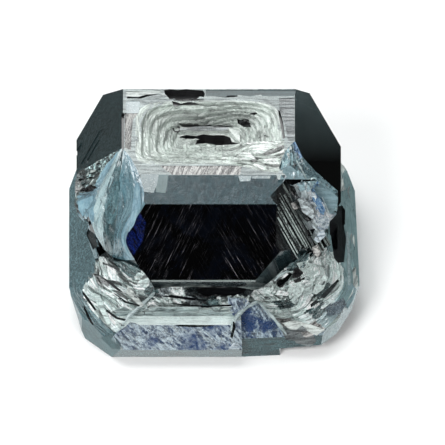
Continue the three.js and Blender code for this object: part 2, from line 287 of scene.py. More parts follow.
# Chipped relief: each point takes the tilted flat of the nearest scattered centre. Gives
# its height, from about -1 to 1, a tone for the whole flat, and how close the next flat is,
# 1 where two meet.
def chipRelief(points, cell, seed, seam=0.12):
    scaled = points / cell
    home = np.floor(scaled)
    best = np.full(points.shape[:-1], np.inf)
    second = best.copy()
    height, tone = np.zeros_like(best), np.zeros_like(best)
    for step in itertools.product((-1, 0, 1), (-1, 0, 1)):
        cells = home + np.array(step)
        away = scaled - cells - np.stack([cellNumber(cells, seed), cellNumber(cells, seed + 1)], -1)
        distance = np.sqrt((away ** 2).sum(-1))
        closer = distance < best
        second = np.where(closer, best, np.minimum(second, distance))
        slope = np.stack([cellNumber(cells, seed + 2), cellNumber(cells, seed + 3)], -1) * 2 - 1
        height = np.where(closer, (away * slope).sum(-1) + cellNumber(cells, seed + 4) - 0.5, height)
        tone = np.where(closer, cellNumber(cells, seed + 5), tone)
        best = np.minimum(best, distance)
    return height, tone, np.exp(-((second - best) / seam) ** 2)


# A smooth hump round a compass direction: e to the minus square of the angle over the width.
def near(angles, azimuth, width):
    away = (angles - np.radians(azimuth) + np.pi) % (2 * np.pi) - np.pi
    return np.exp(-((away / np.radians(width)) ** 2))


# Each face by the way it faces, its slope, and a reach and a height that it goes through.
topFace = (front, 0, 0, topHeight)
bevelFace = (front, bevel, 2.01, topHeight)
darkFace = (front, octahedral, 2.93, 4.85)
leftSide = (left, octahedral, 2.87, topHeight)
backSide = (back, octahedral, 2.01, topHeight)
block = {
    "faces": [
        (*topFace, "topPlane"),
        (*bevelFace, "bevel"),
        (*darkFace, "mirror"),
        (*leftSide, "leftFace"),
        (right, octahedral, 2.8, topHeight, "rightFace"),
        (*backSide, "polished"),
        (frontLeft, dodecahedral, 3.155, topHeight, "petal"),
        (frontRight, dodecahedral, 3.18, topHeight, "paleBlue"),
        (frontLeft, upright, 4.59, 0, "darkFacet"),
        (frontRight, upright, 4.6, 0, "darkFacet"),
        (-56, upright, 4.49, 0, "darkFacet"),
        (backLeft, upright, 4.39, 0, "polished"),
        (backRight, upright, 4.09, 0, "polished"),
        (front, 180 - octahedral, 4.46, 2.77, "polished"),
        (front, upright, 4.4, 0, "strip"),
        (left, 180 - octahedral, 4.41, 3.11, "polished"),
        (right, 180 - octahedral, 4.32, 3.13, "polished"),
        (back, 180 - octahedral, 3.5, 3.17, "polished"),
        # A downward-facing facet under the front left corner, painted dark as shade.
        (-154.5, 118, 4.61, 3.23, "hollow"),
        (-25, 118, 4.5, 3.35, "paleBlue"),
        (front, downward, 0, 1.7, "polished"),
    ],
}

# The wide lower tier: its facets, then its terraces, whose contours reach from the highest
# to the lowest values in eight directions.
skirt = {
    "faces": [
        (front, 0, 0, 3.3, "rim"),
        (front, octahedral, 5.04, 1.31, "blueFacet"),
        (left, octahedral, 4.16, 1.78, "rim"),
        (2, octahedral, 4.32, 1.72, "rimRight"),
        (back, octahedral, 3.73, 1.78, "rim"),
        (front, 116, 5.52, 0.62, "rimLow"),
        (left, 116, 4.65, 1.09, "rim"),
        (2, 116, 4.83, 0.99, "rimRight"),
        (back, 116, 4.22, 1.09, "rim"),
        (frontLeft, upright, 5.99, 0, "rimShade"),
        (-158, upright, 5.51, 0, "rim"),
        (frontRight, upright, 6.13, 0, "cloudy"),
        (-25, upright, 5.69, 0, "cloudy"),
        (backLeft, upright, 4.82, 0, "rim"),
        (backRight, upright, 4.93, 0, "rim"),
        (157, upright, 4.88, 0, "rim"),
        (23, upright, 5.0, 0, "rim"),
        (front, downward, 0, 0, "base"),
    ],
    "top": 2.25,
    "drop": 1.32,
    "terraces": 19,
    "frontPoints": 260,
    "backPoints": 130,
    "directions": [right, backRight, back, backLeft, left, frontLeft, front, frontRight],
    "highest": [3.56, 3.9, 2.8, 3.9, 3.7, 4.39, 3.45, 4.2],
    "lowest": [5.3, 5.55, 4.62, 5.55, 5.35, 6.04, 6.2, 6.2],
    "sharpness": 14,
    "uneven": 0.75,
    "waves": [(4, 0.35), (7, 0.45), (11, 0.45), (17, 0.35), (27, 0.15)],
    "fineWaves": [(59, 0.014), (97, 0.012), (151, 0.010), (211, 0.007)],
    "tilt": 0.02,
    "grooved": [2, 3, 5, 7, 9, 10, 12, 14, 16, 18],
    "groove": 0.035,
    "treadTones": (0.75, 1.12),
    "riserTones": (0.7, 1.5),
    "crumb": 0.3,
    "crumbled": [(-1.2, -4.3, 0.7), (2.8, -3.6, 0.9), (3.6, -2.8, 0.5), (0.3, -4.3, 0.4)],
    "shelves": [(-4.74, 1.31), (-4.67, 1.42), (-4.61, 1.55)],
    "shelfEnds": (-3.2, 0.8),
}

# The hollow in the top face: half sizes at its rim and at its floor, its steps, and the bar,
# the slot and the small ring on its floor.
hopper = {
    "centre": (-0.03, 0.05), "terraces": 6, "around": 400, "rings": 44, "cell": 0.11, "stretch": 7.0,
    # The shade is how far its lower back is darkened, as painted shade.
    "shade": 0.58, "depth": 0.54,
    "outer": {"left": 2.43, "right": 2.4, "back": 1.42, "front": 1.56},
    "inner": {"left": 1.03, "right": 1.02, "back": 0.72, "front": 0.16},
    "cornerBack": 4.2, "cornerFront": 9.0,
    "waves": [(2, 0.5), (3, 0.6), (5, 0.5), (9, 0.3), (14, 0.2)],
    "bar": [(-1.0, 0.5), (-0.4, 0.46), (0.25, 0.46), (0.6, 0.5), (0.62, 0.62), (0.2, 0.67), (-0.5, 0.66),
            (-1.0, 0.6)],
    "barFoot": 4.4, "barTop": 4.87,
    "slot": [(-1.06, 0.3), (-0.79, 0.36), (-0.46, 0.34), (-0.2, 0.39), (0.13, 0.34), (0.46, 0.36),
             (0.66, 0.25), (0.73, 0.06), (0.96, -0.03), (0.73, -0.1), (0.33, -0.12), (0.0, -0.05),
             (-0.49, -0.05), (-0.43, 0.11), (-0.33, 0.18), (-0.79, 0.18), (-0.99, 0.23)],
    "slotFoot": 4.25, "slotTop": 5.6, "cap": 5.8,
    "ring": ((-1.1, 0.59, 4.81), 0.12, 0.035),
}

# What is missing at the skirt's front right, and the wedge that stands in it.
setback = {
    "outline": [(-4.29, 2.0), (-5.17, 0.75), (-5.26, 0), (-5.26, -0.5), (-7, -0.5), (-7, 2.0)],
    "looks": ["deepFacet", "rimLow", "rimLow", "rimLow", "rimLow", "rimLow"],
    "wedge": [(-5.04, 1.31), (-5.5, 0.66), (-5.4, 0.3), (-4.2, 0.3), (-4.2, 1.31)],
    "wedgeEnds": (-3.3, -2.1), "start": 0.72, "length": 6, "turn": 3.5,
}
# A tilted box that takes off the skirt's low front right corner.
chip = dict(x=4.32, y=-4.6, z=-0.12, wide=4, long=5, high=1, tilt=3)

# Hollows: a rough bowl of a length, width and depth about a point.
pits = {
    "top": [
        dict(x=-0.15, y=0.76, z=4.86, long=0.95, wide=0.05, deep=0.2, rough=0.1),
        dict(x=-0.7, y=1.5, z=5.28, long=0.52, wide=0.045, deep=0.12, rough=0.2),
        dict(x=0.73, y=1.68, z=5.3, long=0.2, wide=0.05, deep=0.2, rough=0.15),
        dict(x=1.48, y=1.08, z=4.97, long=0.2, wide=0.06, deep=0.16, rough=0.2),
        dict(x=1.19, y=0.87, z=4.84, long=0.2, wide=0.1, deep=0.16, rough=0.2),
    ],
    "corner": [
        dict(x=-3.98, y=-1.02, z=3.66, long=0.22, wide=0.12, deep=0.2, rough=0.2),
        dict(x=-4.05, y=-0.42, z=3.9, long=0.1, wide=0.14, deep=0.15, rough=0.25),
    ],
    "skirt": [
        dict(x=2.9, y=-4.09, z=2.68, long=0.2, wide=0.22, deep=0.3, rough=0.25),
        dict(x=2.43, y=-4.37, z=2.62, long=0.3, wide=0.12, deep=0.25, rough=0.2),
    ],
}

# Growth triangles on the left and back faces: place across and down, reach and depth.
growth = [
    (leftSide, "leftFace", [(-0.4, 1.6, 0.8, 0.03), (-0.35, 1.62, 0.5, 0.06), (0.9, 2.2, 0.35, 0.04),
                            (-1.2, 2.5, 0.28, 0.04), (0.5, 1.0, 0.2, 0.03), (1.1, 1.5, 0.16, 0.03)]),
    (backSide, "polished", [(0.6, 1.5, 0.95, 0.03), (0.65, 1.48, 0.6, 0.06), (0.7, 1.5, 0.28, 0.1),
                            (-1.4, 1.3, 0.45, 0.04), (-1.2, 2.2, 0.3, 0.04), (1.9, 2.2, 0.35, 0.04),
                            (-2.1, 1.8, 0.2, 0.03), (1.7, 0.8, 0.2, 0.03)]),
]


# Triangles with cut corners: two points beside each of three directions a third of a turn
# apart, at the reach, each direction turned a little by chance.
def growthTriangles():
    dice = np.random.default_rng(3)
    made = []
    for face, look, places in growth:
        for across, down, reach, deep in places:
            middle = np.radians([90, 210, 330]) + dice.uniform(-0.06, 0.06, 3)
            turns = (middle[:, None] + (-0.16, 0.16)).ravel()
            points = np.column_stack([across + reach * np.cos(turns), down + reach * np.sin(turns)])
            made.append((face, look, deep, np.round(points, 2).tolist()))
    return made


# Shallow growth steps: outlines drawn across and down a plane, sunk a little into it; those
# sunk deepest are painted near black, as painted shade.
patches = [
    (topFace, "brownHatch", 0.03, [(-2.82, -0.887), (-2.376, -0.887), (-2.541, -0.56), (-2.59, 0.14),
                                   (-2.607, 0.84), (-2.805, 0.747)]),
    (topFace, "palePatch", 0.015, [(-2.772, -1.447), (-2.31, -1.447), (-2.343, -0.887), (-2.772, -0.887)]),
    (topFace, "white", 0.02, [(-2.772, -1.89), (-1.65, -1.937), (-1.584, -1.82), (-2.145, -1.75),
                              (-2.376, -1.64), (-2.772, -1.68)]),
    (topFace, "pit", 0.1, [(-2.739, -1.657), (-2.376, -1.63), (-2.112, -1.74), (-1.65, -1.77),
                           (-1.98, -1.69), (-2.277, -1.563), (-2.739, -1.563)]),
    (topFace, "pit", 0.3, [(-1.518, -1.96), (-1.32, -1.997), (-1.056, -1.96), (-0.792, -1.997),
                           (-0.462, -1.96), (-0.231, -1.937), (-0.165, -1.773), (-0.198, -1.633),
                           (-0.33, -1.657), (-0.462, -1.517), (-0.594, -1.563), (-0.726, -1.447),
                           (-0.891, -1.54), (-1.056, -1.447), (-1.188, -1.563), (-1.32, -1.517),
                           (-1.419, -1.68), (-1.485, -1.773)]),
    (topFace, "pit", 0.08, [(-1.254, -1.447), (-0.99, -1.353), (-0.66, -1.4), (-0.33, -1.353),
                            (-0.363, -1.26), (-0.726, -1.279), (-1.056, -1.246), (-1.221, -1.307)]),
    (topFace, "shaded", 0.02, [(-0.132, -1.96), (1.716, -1.96), (1.782, -1.773), (1.32, -1.657),
                               (0.924, -1.727), (0.528, -1.587), (0.066, -1.68), (-0.132, -1.68)]),
    (topFace, "greyHatch", 0.02, [(2.277, -1.587), (2.79, -1.587), (2.79, 0.42), (2.574, 0.42),
                                  (2.49, -0.3), (2.3, -1.027)]),
    (topFace, "shaded", 0.03, [(1.584, -1.983), (2.871, -1.983), (2.77, -1.68), (1.716, -1.68)]),
    (topFace, "pinkHatch", 0.015, [(-1.65, 1.58), (1.056, 1.58), (0.99, 1.995), (-1.254, 1.995)]),
    (topFace, "pit", 0.15, [(-2.92, -0.887), (-2.83, -0.887), (-2.83, 0.793), (-2.92, 0.793)]),
    (topFace, "pit", 0.18, [(2.244, -1.027), (2.31, -0.98), (2.409, -0.467), (2.475, 0.28), (2.409, 0.327),
                            (2.32, -0.373)]),
    (bevelFace, "tealPatch", 0.014, [(-1.76, -0.1), (-1.36, -0.1), (-1.42, 0.4), (-1.47, 0.63),
                                     (-1.8, 0.6)]),
    (bevelFace, "palePatch", 0.02, [(-2.3, -0.1), (-1.68, -0.1), (-1.74, 0.3), (-1.86, 0.62),
                                    (-2.3, 0.57)]),
    (bevelFace, "palePatch", 0.015, [(0.924, 0.01), (1.386, 0.01), (1.32, 0.21), (0.99, 0.22)]),
    (bevelFace, "palePatch", 0.02, [(1.386, 0.01), (2.013, 0.01), (1.98, 0.12), (1.386, 0.12)]),
    *growthTriangles(),
    (darkFace, "deepBlue", 0.01, [(-2.31, 0.285), (-2.112, 0.62), (-2.211, 1.22), (-2.541, 1.757),
                                  (-2.9, 1.255)]),
]

# Outlines drawn square to a line of sight 45 degrees up in front, across and down it, each
# with its look, how fast its plane rises along the line both ways, its two places on the
# line, its shade and its points. Hollows are cut and painted dark, as painted shade; flakes
# are joined on. Ridges are thin rounded bars, each with its thickness and its path.
sights = {
    "hollows": [
        ("gloom", (0.08, -0.02), (-0.58, 0.22), 1.0, [(-3.78, 1.07), (-3.72, 1.02), (-3.65, 1.03),
            (-3.62, 1.05), (-3.68, 1.08)]),
        ("gloom", (0.01, 0.02), (-1.57, -0.77), 1.0, [(-4.37, 1.6), (-4.31, 1.54), (-4.24, 1.54),
            (-4.21, 1.58), (-4.27, 1.62)]),
        ("gloom", (0.05, 0.01), (-1.14, -0.34), 1.0, [(-4.06, 1.53), (-3.99, 1.48), (-3.9, 1.48),
            (-3.86, 1.51), (-3.94, 1.55)]),
        ("gloom", (1.6, 0.14), (5.45, 6.25), 1.0, [(-3.99, 1.86), (-3.9, 1.8), (-3.78, 1.8),
            (-3.73, 1.84), (-3.83, 1.89)]),
        ("gloom", (0.25, 0.01), (0.23, 1.03), 1.0, [(-4.36, 1.93), (-4.22, 1.85), (-4.04, 1.85),
            (-3.96, 1.91), (-4.12, 1.97)]),
        ("gloom", (1.6, -1.09), (9.79, 10.64), 1.0, [(-4.09, 2.71), (-4.03, 2.71), (-3.93, 2.97),
            (-3.76, 3.43), (-3.53, 3.8), (-3.43, 3.96), (-3.66, 4.09), (-3.8, 3.76), (-3.96, 3.23)]),
        ("hollow", (-1.6, 1.11), (1.45, 2.19), 0.6, [(3.93, 2.51), (4.16, 2.44), (4.39, 2.44),
            (4.42, 3.1), (4.49, 3.56), (4.42, 4.29), (4.22, 4.32), (4.09, 4.16), (3.99, 3.43)]),
        ("gloom", (0.35, 0.23), (-1.27, -0.55), 1.0, [(0.89, -0.43), (1.32, -0.3), (1.35, -0.16),
            (1.12, -0.16), (0.92, -0.28)]),
        ("hollow", (0.71, 0.23), (1.96, 2.62), 1.0, [(-3.76, 4.26), (-3.37, 4.32), (-2.97, 4.52),
            (-3.0, 4.59), (-3.39, 4.4), (-3.76, 4.34)]),
        ("gloom", (0.14, 0.06), (0.25, 0.9), 1.0, [(-4.16, 5.71), (-3.96, 6.11), (-3.83, 6.37),
            (-3.89, 6.37), (-4.04, 6.14), (-4.18, 5.79)]),
        ("gloom", (0.33, 0.26), (0.4, 1.05), 1.0, [(-3.53, 4.79), (-3.22, 4.98), (-2.77, 5.38),
            (-2.82, 5.42), (-3.27, 5.06), (-3.55, 4.85)]),
        ("gloom", (0.19, 0.19), (-0.04, 0.61), 1.0, [(-4.29, 5.13), (-4.03, 5.45), (-3.76, 5.84),
            (-3.79, 5.91), (-4.09, 5.52), (-4.3, 5.21)]),
        ("gloom", (-0.34, 0.07), (1.4, 2.4), 1.0, [(2.51, 1.56), (3.04, 1.56), (2.99, 1.65),
            (2.72, 1.76), (2.55, 1.69)]),
        ("gloom", (0.0, 0.0), (-0.22, 0.83), 1.0, [(-0.46, 5.18), (-0.17, 5.13), (0.4, 5.15),
            (0.92, 5.13), (1.22, 5.18), (1.12, 5.31), (0.73, 5.4), (0.17, 5.36), (-0.1, 5.43),
            (-0.4, 5.31)]),
        ("gloom", (-0.12, -1.6), (4.99, 5.89), 1.0, [(-3.66, 3.6), (-3.33, 4.06), (-3.4, 4.12),
            (-3.63, 4.06)]),
        ("gloom", (0.44, -1.6), (6.07, 6.92), 1.0, [(-4.17, 2.87), (-4.03, 2.87), (-4.01, 3.33),
            (-4.12, 3.27)]),
        ("hollow", (1.6, 1.09), (1.35, 2.07), 1.0, [(-3.96, 3.07), (-3.7, 3.73), (-3.86, 3.89),
            (-4.09, 3.37)]),
        ("gloom", (0.0, 0.0), (-0.1, 0.8), 1.0, [(2.85, 4.62), (2.99, 4.55), (3.14, 4.67), (3.12, 4.86),
            (2.96, 4.91), (2.85, 4.79)]),
        ("hollow", (0.0, 0.0), (0.39, 1.14), 1.0, [(2.17, 5.0), (2.38, 4.79), (2.57, 4.65), (2.66, 4.6),
            (2.71, 4.7), (2.57, 4.91), (2.33, 5.07), (2.19, 5.12)]),
        ("gloom", (0.0, 0.0), (0.13, 0.93), 1.0, [(2.31, 5.31), (2.34, 5.24), (2.5, 5.19), (2.53, 5.33),
            (2.43, 5.43)]),
        ("gloom", (-0.92, 0.21), (1.38, 2.14), 1.0, [(3.94, 2.79), (4.2, 2.72), (4.21, 3.85),
            (3.99, 3.94), (3.95, 3.52)]),
        ("gloom", (-0.01, 0.05), (-2.82, -2.12), 1.0, [(4.33, 2.39), (4.46, 2.57), (4.46, 3.05),
            (4.37, 3.09)]),
        ("gloom", (0.0, 0.0), (0.52, 1.24), 1.0, [(-1.19, 6.37), (-0.83, 6.36), (0.13, 6.38),
            (0.1, 6.41), (-0.49, 6.44), (-0.99, 6.42)]),
        ("gloom", (-0.02, 0.01), (0.53, 1.28), 1.0, [(-1.72, 5.41), (-1.25, 5.38), (-0.66, 5.46),
            (-0.1, 5.54), (-0.13, 5.59), (-0.73, 5.54), (-1.32, 5.46)]),
        ("gloom", (-0.02, -0.06), (0.84, 1.56), 1.0, [(-1.49, 5.64), (-0.79, 5.68), (-0.13, 5.73),
            (0.73, 5.69), (0.69, 5.75), (-0.17, 5.78), (-0.83, 5.74)]),
        ("hollow", (-0.03, 0.01), (0.6, 1.28), 1.0, [(0.76, 6.11), (0.85, 6.44), (0.74, 6.82),
            (0.67, 6.75), (0.75, 6.44)]),
        ("gloom", (-1.04, 0.06), (3.8, 4.5), 1.0, [(3.04, 1.57), (3.37, 1.56), (3.66, 1.54),
            (3.66, 1.59), (3.37, 1.62), (3.06, 1.63)]),
        ("gloom", (-0.09, -0.02), (1.2, 1.95), 1.0, [(3.21, 3.23), (3.47, 3.19), (3.37, 3.43),
            (3.24, 3.45)]),
        ("hollow", (0.34, 0.41), (-0.32, 0.38), 1.0, [(-3.89, 4.65), (-3.63, 4.72), (-3.3, 5.05),
            (-3.37, 5.13), (-3.7, 4.9)]),
        ("gloom", (1.6, 0.78), (4.49, 5.24), 1.0, [(-4.11, 1.79), (-3.76, 1.78), (-3.87, 1.95),
            (-4.09, 1.99)]),
        ("hollow", (-0.12, 0.1), (-0.16, 0.5), 1.0, [(-3.17, 5.31), (-2.77, 5.58), (-2.31, 5.71),
            (-2.34, 5.76), (-2.81, 5.64), (-3.18, 5.41)]),
        ("hollow", (0.02, 0.08), (0.09, 0.75), 1.0, [(-3.42, 5.84), (-3.04, 6.11), (-2.77, 6.18),
            (-2.82, 6.24), (-3.1, 6.17), (-3.43, 5.92)]),
        ("hollow", (-0.48, 0.28), (0.51, 1.17), 1.0, [(3.31, 5.69), (3.75, 5.31), (4.21, 4.86),
            (4.27, 4.91), (3.99, 5.27), (3.75, 5.52), (3.33, 5.79)]),
    ],
    "flakes": [
        ("petalWhite", (0.04, 0.07), (-1.06, -0.68), 1.0, [(-4.0, 1.73), (-4.03, 1.81), (-4.1, 1.84),
            (-4.12, 1.82), (-4.08, 1.75)]),
        ("darkShard", (0.06, 0.03), (-0.92, -0.5), 0.7, [(-3.69, 1.32), (-3.69, 1.36), (-3.74, 1.39),
            (-3.77, 1.35), (-3.72, 1.32)]),
        ("crumbs", (0.02, 0.08), (-1.51, -1.13), 1.0, [(-4.28, 1.73), (-4.29, 1.78), (-4.33, 1.83),
            (-4.37, 1.81), (-4.32, 1.74)]),
        ("crumbs", (0.23, 0.11), (-0.2, 0.16), 0.9, [(-3.81, 1.55), (-3.84, 1.66), (-3.95, 1.76),
            (-3.98, 1.72), (-3.88, 1.57)]),
        ("darkShard", (0.0, 0.02), (-1.53, -1.12), 0.9, [(-4.11, 1.66), (-4.17, 1.71), (-4.24, 1.73),
            (-4.26, 1.69), (-4.19, 1.64)]),
        ("shard", (0.02, 0.03), (-1.43, -1.08), 0.8, [(-3.98, 1.54), (-4.0, 1.62), (-4.05, 1.64),
            (-4.08, 1.59), (-4.02, 1.54)]),
        ("petalWhite", (0.13, 0.03), (-0.73, -0.36), 0.8, [(-3.78, 1.44), (-3.81, 1.47), (-3.87, 1.48),
            (-3.87, 1.45), (-3.83, 1.43)]),
        ("darkShard", (0.03, 0.0), (-1.59, -1.18), 0.9, [(-4.18, 1.4), (-4.17, 1.51), (-4.29, 1.55),
            (-4.28, 1.48)]),
        ("crumbs", (0.03, -0.04), (-1.32, -0.97), 0.7, [(-3.99, 1.31), (-4.0, 1.4), (-4.05, 1.46),
            (-4.08, 1.45), (-4.04, 1.35)]),
        ("crumbs", (0.4, -0.12), (0.43, 0.84), 0.7, [(-3.75, 1.23), (-3.79, 1.31), (-3.97, 1.36),
            (-3.93, 1.26)]),
        ("darkShard", (0.01, 0.0), (-1.0, -0.62), 0.8, [(-3.62, 1.17), (-3.68, 1.22), (-3.74, 1.24),
            (-3.77, 1.2), (-3.7, 1.15)]),
        ("shard", (0.09, 0.02), (-1.47, -1.12), 0.8, [(-4.22, 1.3), (-4.25, 1.34), (-4.3, 1.33),
            (-4.28, 1.31)]),
        ("petalWhite", (0.09, 0.0), (-1.18, -0.82), 0.8, [(-4.03, 1.19), (-4.05, 1.23), (-4.14, 1.27),
            (-4.09, 1.18)]),
        ("darkShard", (0.07, -0.03), (-0.97, -0.56), 0.9, [(-3.86, 1.07), (-3.88, 1.16), (-3.93, 1.18),
            (-3.93, 1.12)]),
        ("crumbs", (0.02, -0.01), (-0.99, -0.63), 0.8, [(-3.66, 0.94), (-3.69, 1.06), (-3.8, 1.11),
            (-3.76, 0.98)]),
        ("crumbs", (0.17, 0.07), (-0.35, 0.06), 0.9, [(-3.55, 0.89), (-3.59, 0.95), (-3.63, 0.96),
            (-3.65, 0.94), (-3.59, 0.9)]),
        ("paleTeal", (0.58, 1.41), (-4.04, -3.67), 0.9, [(-4.06, 3.1), (-3.96, 3.07), (-3.8, 3.76),
            (-3.7, 4.16), (-3.8, 4.19), (-3.96, 3.76)]),
        ("cloudy", (-0.54, 0.89), (-2.8, -2.45), 1.0, [(4.49, 3.3), (4.55, 3.27), (4.62, 4.29),
            (4.65, 5.05), (4.55, 5.08), (4.52, 4.29)]),
        ("white", (0.31, -0.43), (3.76, 4.1), 0.9, [(-2.71, 5.05), (-2.18, 5.71), (-2.28, 5.79),
            (-2.77, 5.31)]),
        ("shard", (-0.1, 0.03), (-0.24, 0.1), 1.0, [(-3.83, 5.31), (-3.63, 5.38), (-3.47, 5.84),
            (-3.27, 6.3), (-3.37, 6.37), (-3.6, 5.94), (-3.76, 5.64)]),
        ("shard", (-0.54, -0.53), (4.77, 5.11), 0.8, [(3.14, 4.84), (3.42, 4.86), (3.37, 5.31),
            (3.14, 5.55), (3.06, 5.31)]),
        ("paleTeal", (-0.13, 0.04), (1.16, 1.49), 1.2, [(2.86, 1.69), (3.08, 1.76), (3.14, 1.91),
            (3.0, 1.96), (2.88, 1.84)]),
        ("paleTeal", (-0.6, 0.81), (1.34, 1.68), 1.0, [(2.19, 1.4), (2.62, 1.07), (3.09, 1.49),
            (3.28, 1.62), (2.57, 1.55), (2.24, 1.58)]),
        ("blueChip", (0.0, 0.3), (-0.1, 0.23), 1.3, [(2.81, 0.31), (2.9, 0.5), (3.04, 0.85), (2.94, 0.9),
            (2.83, 0.59)]),
        ("teal", (-1.47, 0.47), (4.18, 4.52), 0.9, [(3.06, 0.83), (3.65, 1.49), (3.37, 1.67), (3.1, 1.35)]),
        ("paleTeal", (0.04, -0.11), (0.04, 0.38), 0.9, [(3.24, 1.69), (3.94, 1.91), (4.22, 2.15),
            (4.12, 2.57), (3.95, 2.72), (3.7, 2.21), (3.37, 1.91)]),
        ("blueChip", (-0.81, 0.24), (2.78, 3.13), 1.3, [(3.37, 2.15), (3.61, 2.2), (3.8, 2.57),
            (3.75, 2.76), (3.51, 2.57)]),
        ("spark", (-0.07, -0.09), (0.95, 1.3), 1.1, [(3.31, 1.91), (3.51, 2.15), (3.48, 2.31),
            (3.28, 2.06)]),
        ("greyCrumbs", (-0.3, -0.04), (1.94, 2.29), 1.3, [(2.9, 2.21), (3.1, 2.15), (3.37, 2.48),
            (3.47, 2.76), (3.37, 2.87), (3.04, 2.63)]),
        ("spark", (-0.98, 0.39), (2.99, 3.34), 1.1, [(3.51, 2.82), (3.84, 2.76), (3.95, 2.95),
            (3.89, 3.19), (3.65, 3.15), (3.47, 2.95)]),
        ("spark", (-0.13, -0.1), (1.49, 1.84), 1.0, [(3.57, 3.34), (3.75, 3.23), (3.83, 3.42),
            (3.56, 3.66), (3.42, 3.55)]),
        ("pinkHatch", (-0.45, 0.09), (1.83, 2.18), 1.2, [(2.66, 2.34), (2.81, 2.31), (2.9, 2.53),
            (2.76, 2.56)]),
        ("pinkHatch", (-0.49, -0.26), (3.34, 3.69), 1.2, [(3.37, 3.81), (3.56, 3.71), (3.66, 3.99),
            (3.56, 4.14), (3.42, 4.04)]),
        ("shard", (-1.28, 0.34), (3.24, 3.59), 1.0, [(3.8, 4.0), (4.12, 3.94), (4.32, 4.09),
            (4.31, 4.37), (3.84, 4.37)]),
        ("crumbs", (-1.03, 0.24), (2.74, 3.09), 0.9, [(2.85, 4.32), (3.14, 4.27), (3.51, 4.37),
            (3.8, 4.51), (3.75, 4.7), (3.42, 4.85), (3.14, 4.7), (2.95, 4.51)]),
        ("crumbs", (-0.5, -0.3), (3.51, 3.86), 1.0, [(2.63, 5.03), (2.99, 4.94), (3.14, 5.12),
            (3.04, 5.31), (2.85, 5.54), (2.63, 5.5), (2.57, 5.22)]),
        ("crumbs", (-0.45, -0.12), (2.3, 2.65), 0.9, [(3.52, 4.93), (3.8, 4.7), (3.9, 4.79),
            (3.75, 5.18), (3.51, 5.36), (3.37, 5.31)]),
        ("crumbs", (0.1, -0.76), (4.65, 4.99), 0.9, [(1.77, 5.12), (2.05, 5.0), (2.12, 5.17),
            (1.96, 5.36), (1.77, 5.31)]),
        ("shard", (-0.27, 0.06), (1.03, 1.38), 1.0, [(2.19, 5.18), (2.67, 5.03), (2.52, 5.18),
            (2.24, 5.25)]),
        ("shard", (-0.36, 0.19), (0.22, 0.56), 1.2, [(2.9, 6.11), (3.42, 5.87), (3.8, 5.64),
            (4.08, 5.45), (4.11, 5.53), (3.8, 5.79), (3.47, 5.98), (2.99, 6.17)]),
        ("dusk", (-0.69, 0.21), (1.47, 1.79), 1.0, [(3.8, 5.79), (4.41, 5.46), (4.5, 5.69), (4.27, 6.02),
            (3.9, 6.07)]),
        ("paleTeal", (-1.32, 0.23), (4.07, 4.4), 1.2, [(4.5, 5.13), (4.64, 4.96), (4.74, 5.07),
            (4.83, 5.18), (4.74, 5.51), (4.55, 5.83), (4.48, 5.73)]),
        ("white", (0.03, -0.21), (1.43, 1.76), 1.1, [(2.39, 6.31), (2.76, 6.21), (3.32, 6.35),
            (3.8, 6.53), (3.51, 6.72), (3.14, 6.53), (2.63, 6.53)]),
        ("greyHatch", (-0.09, -0.78), (5.55, 5.87), 0.8, [(2.62, 6.68), (3.04, 6.39), (3.42, 6.72),
            (3.51, 6.91), (3.32, 7.1), (2.85, 6.97)]),
        ("spark", (0.01, -0.12), (1.15, 1.5), 1.0, [(0.59, 7.19), (0.78, 6.96), (0.99, 7.03),
            (0.97, 7.19)]),
        ("deepFacet", (0.4, -0.15), (0.91, 1.23), 1.0, [(0.59, 5.46), (1.2, 5.5), (1.31, 5.64),
            (0.97, 5.97), (0.78, 6.06), (0.59, 5.87)]),
        ("rimShade", (1.17, -0.66), (8.53, 8.85), 0.8, [(-3.6, 6.8), (-3.22, 6.64), (-2.97, 7.02),
            (-2.86, 7.2), (-3.25, 7.14)]),
        ("petalLight", (1.55, 0.34), (5.25, 5.58), 1.4, [(-4.36, 2.29), (-3.84, 2.09), (-3.89, 2.41),
            (-4.21, 2.79), (-4.34, 2.55)]),
        ("petalWhite", (1.02, 0.28), (3.52, 3.86), 1.1, [(-3.3, 1.43), (-3.17, 1.49), (-3.37, 1.95),
            (-3.6, 2.41), (-3.76, 3.0), (-3.85, 2.55), (-3.63, 1.95)]),
        ("petalDark", (-0.19, 0.17), (-0.31, 0.01), 1.2, [(-3.26, 1.75), (-3.04, 1.5), (-2.96, 2.41),
            (-3.22, 3.07), (-3.42, 3.0), (-3.48, 2.41)]),
        ("petalLight", (0.39, 0.12), (2.02, 2.35), 1.1, [(-2.44, 1.56), (-2.31, 1.82), (-2.28, 2.41),
            (-2.51, 3.07), (-2.69, 3.32), (-2.56, 2.41)]),
    ],
    "ridges": [
        (0.06, [(1.58, -4.48, 1.87), (1.32, -4.57, 1.77), (1.09, -4.66, 1.63), (0.89, -4.85, 1.54),
            (0.76, -5.02, 1.38), (0.73, -5.17, 1.21), (0.76, -5.32, 1.04)]),
        (0.05, [(1.62, -4.51, 1.86), (1.85, -4.69, 1.66), (2.08, -4.85, 1.48), (2.31, -4.99, 1.22),
            (2.54, -5.08, 0.89)]),
        (0.06, [(-1.82, -4.43, 2.24), (-2.05, -4.53, 2.02), (-2.34, -4.67, 1.78), (-2.67, -4.87, 1.56),
            (-2.9, -5.05, 1.33)]),
        (0.025, [(2.85, -1.31, 5.28), (3.02, -1.53, 5.07), (3.19, -1.71, 4.75)]),
        (0.022, [(3.7, -1.73, 3.97), (3.84, -1.96, 3.73), (3.95, -2.32, 3.7)]),
        (0.03, [(-3.6, -4.19, 1.96), (-3.76, -3.88, 2.11), (-3.86, -3.52, 2.22)]),
        (0.03, [(2.12, -4.52, 2.83), (2.29, -4.38, 2.96), (2.52, -4.17, 2.94), (2.62, -4.11, 2.88)]),
    ],
}

